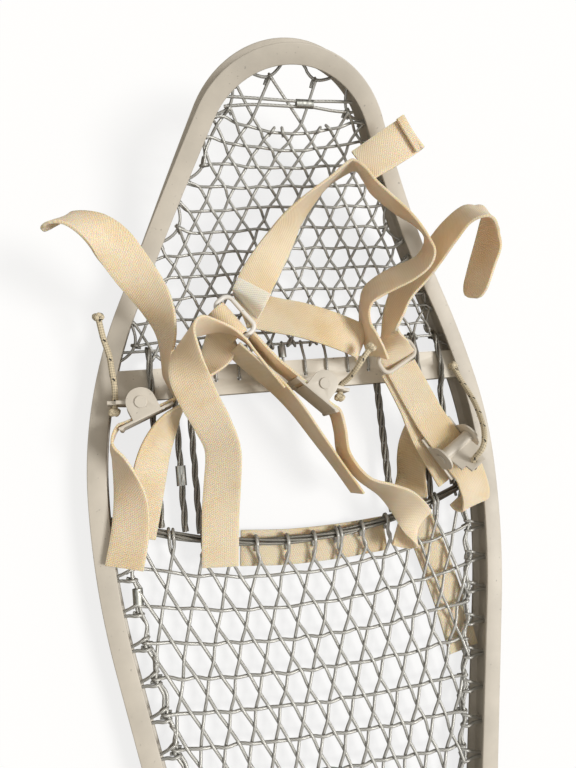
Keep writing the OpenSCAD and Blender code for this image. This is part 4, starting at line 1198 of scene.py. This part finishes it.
class SNOWSHOE_OT_toe_lacing(bpy.types.Operator):
    """Laces the toe: a scalloped selvedge stitched through the rail, and its woven net"""

    bl_idname = "snowshoe.toe_lacing"
    bl_label = "Toe lacing"

    def execute(self, context):
        pitch = lacing("toe_pitch")
        rear, row, high = BAR_FRONT + TOE_REAR, TIP_V - TOE_LAST_ROW, TIP_V - TOE_DOUBLED
        last = side_s(BAR_FRONT + 2.0)
        route, inner, knots = scallop(0.0, last, lacing("toe_scallop"), lacing("stitch"), TOE_DEPTH)
        right, left = both_sides(route)
        whole = np.vstack([left[::-1], right[1:]])
        wide = side_at(side_s(rear), WEB_IN)[0] - 0.2
        across = [[x, rear, NET_H] for x in np.linspace(-wide, wide, 24)]
        cables = [[rolled(q) for q in cable] for cable in (curve(whole, 2), np.array(across))]
        lace("toe_selvedge_cable", cables, "toe_selvedge", "toe_ties", cable="toe_cable")

        right, left = both_sides(inner)
        full = np.vstack([right[::-1], left[1:]])
        full = full[full[:, 1] > rear]
        full = np.vstack([[full[0][0], rear], full, [full[-1][0], rear]])
        low = np.array([[x, min(v, row + 1.0)] for x, v in full])
        points = np.vstack(both_sides(knots))

        def edge(family, k):
            """Every other slanting cable runs on past the last row."""
            return full if family and k % 2 == 0 else low

        def sag(place):
            """The upper rows hang lower in their middle, and the lower rows drop a little to the left."""
            share = min(max((place[1] - SAG_FROM) / (row - SAG_FROM), 0), 1) ** 2
            slant = TOE_SLANT * (1 - share) * max(0.0, -place[0])
            drop = SAG * share * max(0.0, 1 - (place[0] / SAG_HALF_W) ** 2)
            return np.array([place[0], place[1] - slant - drop])

        def finish(place, inside):
            """A cable ends where it meets the rear edge or the last row, or else where cables gather."""
            on_row = row - 12 < place[1] < row + 4 and abs(place[0]) < LAST_ROW_HALF_W
            if place[1] < rear + 3 or on_row:
                return round_selvedge(place, inside)
            return round_selvedge(gathered(place, points), inside)

        routes = woven(edge, pitch, (0, row - 5.5 * pitch), 18, 1.6, finish, sag)
        # The doubled cable across the tip: places across the shoe, and off its line
        doubled = [
            [(-45, 0.5), (-24, 0.2), (0, -0.3), (14, 0), (30, 0.6), (45, 0.8)],
            [(-46, -5.5), (-26, -3.6), (0, -3.6), (14, -3.4), (32, -5.2), (46, -5.6)],
        ]
        for run in doubled:
            run = curve(np.array([(x, high + off) for x, off in run], float), 5)
            routes.append([rolled((x, v, NET_H + 1.2)) for x, v in run])
        # Each lacing hole of the crossbar holds a loop that comes over the bar's front edge
        for k in range(-BAR_HOLES, BAR_HOLES):
            x = (k + 0.5) * BAR_HOLE_PITCH
            lean = x + 2.2 * stray(k, 3)
            loop = [
                [x, BAR_Y, BAR_TOP - 6], [x, BAR_Y, BAR_TOP - 1], [x, BAR_Y + 1.6, BAR_TOP + 1.1],
                [x, BAR_Y + 6, BAR_TOP + 1.4], [x, BAR_FRONT, BAR_TOP + 1.2], [lean, rear - 4, NET_H + 3.2],
                [lean, rear, NET_H + 2.7], [lean, rear + 2.7, NET_H + 0.4],
                [lean + 1, rear + 0.5, NET_H - 2.6], [lean + 2, rear - 5, NET_H - 2.0],
            ]
            routes.append(curve(loop, 3))
        lace("toe_net_cable", routes, "toe_net", cable="toe_cable")
        tip = [rolled((x, high - 1.8, NET_H + 1.2)) for x in (4.0, 5.0, 9.0, 15.0, 16.0)]
        places = (-9.5, BAR_TOP + 1.2), (-8.5, BAR_TOP + 1.3), (-2, NET_H + 3.6), (-1, NET_H + 3.4)
        hole = [[-BAR_HOLE_PITCH / 2, rear + back, z] for back, z in places]
        ferrule("toe_ferrules", [tip, hole], TOE_FERRULE_R)
        return {"FINISHED"}


class SNOWSHOE_OT_body_lacing(bpy.types.Operator):
    """Laces the body and the tail, with their selvedges, the master cord and the bridles"""

    bl_idname = "snowshoe.body_lacing"
    bl_label = "Body lacing"

    def execute(self, context):
        pitch, off = lacing("body_pitch"), lacing("stand_off")
        first, last = side_s(CORD_Y + CORD_BOW * 0.4), side_s(REAR_HIGH[1] + 1.0)
        route, ties = held_selvedge(first, last, lacing("tie_pitch"), off)
        # The selvedge is hitched round the master cord, doubled and twisted
        x = route[0][0]
        cord = cord_at(x)
        hitch = [
            [x + 1, cord - 6, NET_H - 3.0], [x + 0.5, cord + 0.5, NET_H - 4.5], [x, cord + 4.3, NET_H + 0.4],
            [x, cord - 0.5, NET_H + 4.7],
        ]
        held = []
        for sign in (1, -1):
            turn = np.array([sign, 1, 1])
            run = np.vstack([hitch, route[route[:, 1] < cord - 7]]) * turn
            held += twisted(curve(run, 4), *SELVEDGE_TWIST)
            held += [curve(np.array(tie) * turn, 3) for tie in ties]
        lace("body_selvedge_cable", held, "body_selvedge", "body_ties")
        x = -side_at(side_s((SLEEVE_FRONT + SLEEVE_REAR) / 2), WEB_IN + off)[0]
        places = (SLEEVE_FRONT, SLEEVE_FRONT - 1, SLEEVE_REAR + 1, SLEEVE_REAR)
        ferrule("body_ferrule", [[[x, v, NET_H] for v in places]], BODY_FERRULE_R)

        front = CORD_Y - APEX
        edges = [np.array([unbowed(p) for p in side]) for side in both_sides(route[:, :2])]
        right, left = (side[side[:, 1] < front] for side in edges)
        outline = np.vstack([right[::-1], [[right[0][0], front], [left[0][0], front]], left])
        middle = (0, CORD_Y - FIRST_ROW - ROWS_TO_MIDDLE * pitch)
        routes = woven(lambda *_: outline, pitch, middle, 34, 1.2, body_end, bowed)
        lace("body_net_cable", routes, "body_net")

        pitch = lacing("tail_pitch")
        first, last = side_s(REAR_LOW[1] - 1.0), side_s(TAIL_V + TAIL_BARE)
        route, inner, _ = scallop(first, last, lacing("tail_scallop"), 0.8 * lacing("stitch"), TAIL_DEPTH)
        right, left = both_sides(inner)
        tail = np.vstack([right[::-1], left])
        routes = woven(lambda *_: tail, pitch, (0, REAR_LOW[1] - 60), 14, 0.9, round_selvedge)
        routes += [[rolled(q) for q in curve(side, 2)] for side in both_sides(route)]
        lace("tail_net_cable", routes, "tail_net")

        reach = side_at(side_s(CORD_Y), WEB_IN)[0] - 0.1
        x = np.linspace(-reach, reach, 90)
        cord = np.stack([x, [cord_at(k) for k in x], np.full_like(x, NET_H)], 1)
        lace("master_cord_cable", twisted(cord, *CORD_TWIST), "master_cord", look="weathered steel cable")
        back = BAR_LOW[1]
        # The way of a bridle over the crossbar and round the toe net's rear edge: places along and up
        over = [
            (back - 3, NET_H + 2.2), (back + 2, BAR_TOP + 2.7), (BAR_FRONT - 3, BAR_TOP + 2.7),
            (BAR_FRONT + 4, NET_H + 4.2), (BAR_FRONT + 12, NET_H + 4.0), (BAR_FRONT + 15.5, NET_H - 0.5),
            (BAR_FRONT + 12, NET_H - 4.2),
        ]
        for side, places in BRIDLES.items():
            strands = []
            for x in places:
                low = cord_at(x) + 3.9
                run = [(low + k * (back - 8 - low), NET_H) for k in np.linspace(0, 1, 14)]
                thick = x == THICK_BRIDLE
                run += [(back - 0.2, NET_H)] if thick else over
                twist = THICK_TWIST if thick else BRIDLE_TWIST
                strands += twisted(curve([[x, v, h] for v, h in run], 3), *twist)
            lace(f"{side}_bridle_cable", strands, f"{side}_bridles", look="weathered steel cable")
        return {"FINISHED"}


class SNOWSHOE_PT_panel(bpy.types.Panel):
    """Lists the snowshoe's sizes, finishes and steps"""

    bl_idname = "SNOWSHOE_PT_panel"
    bl_label = "Snowshoe"
    bl_space_type = "VIEW_3D"
    bl_region_type = "UI"
    bl_category = "Snowshoe"

    def draw(self, context):
        for group in (context.scene.snowshoe_lacing, context.scene.snowshoe_finish):
            for name in group.__annotations__:
                self.layout.prop(group, name)
        for step in STEPS:
            self.layout.operator(step.bl_idname)


STEPS = (
    SNOWSHOE_OT_stage,
    SNOWSHOE_OT_lanyards,
    SNOWSHOE_OT_webbing,
    SNOWSHOE_OT_rail,
    SNOWSHOE_OT_metalwork,
    SNOWSHOE_OT_toe_lacing,
    SNOWSHOE_OT_body_lacing,
)
CLASSES = (LacingSettings, FinishSettings, *STEPS, SNOWSHOE_PT_panel)


def register():
    """Adds the settings, the operators and the panel."""
    for cls in CLASSES:
        bpy.utils.register_class(cls)
    bpy.types.Scene.snowshoe_lacing = PointerProperty(type=LacingSettings)
    bpy.types.Scene.snowshoe_finish = PointerProperty(type=FinishSettings)


def unregister():
    """Takes them away again."""
    del bpy.types.Scene.snowshoe_finish
    del bpy.types.Scene.snowshoe_lacing
    for cls in reversed(CLASSES):
        bpy.utils.unregister_class(cls)


def main():
    register()
    bpy.ops.snowshoe.stage()
    bpy.ops.snowshoe.lanyards()
    bpy.ops.snowshoe.webbing()
    bpy.ops.snowshoe.rail()
    bpy.ops.snowshoe.metalwork()
    bpy.ops.snowshoe.toe_lacing()
    bpy.ops.snowshoe.body_lacing()
    bpy.context.view_layer.update()


if __name__ == "__main__":
    main()
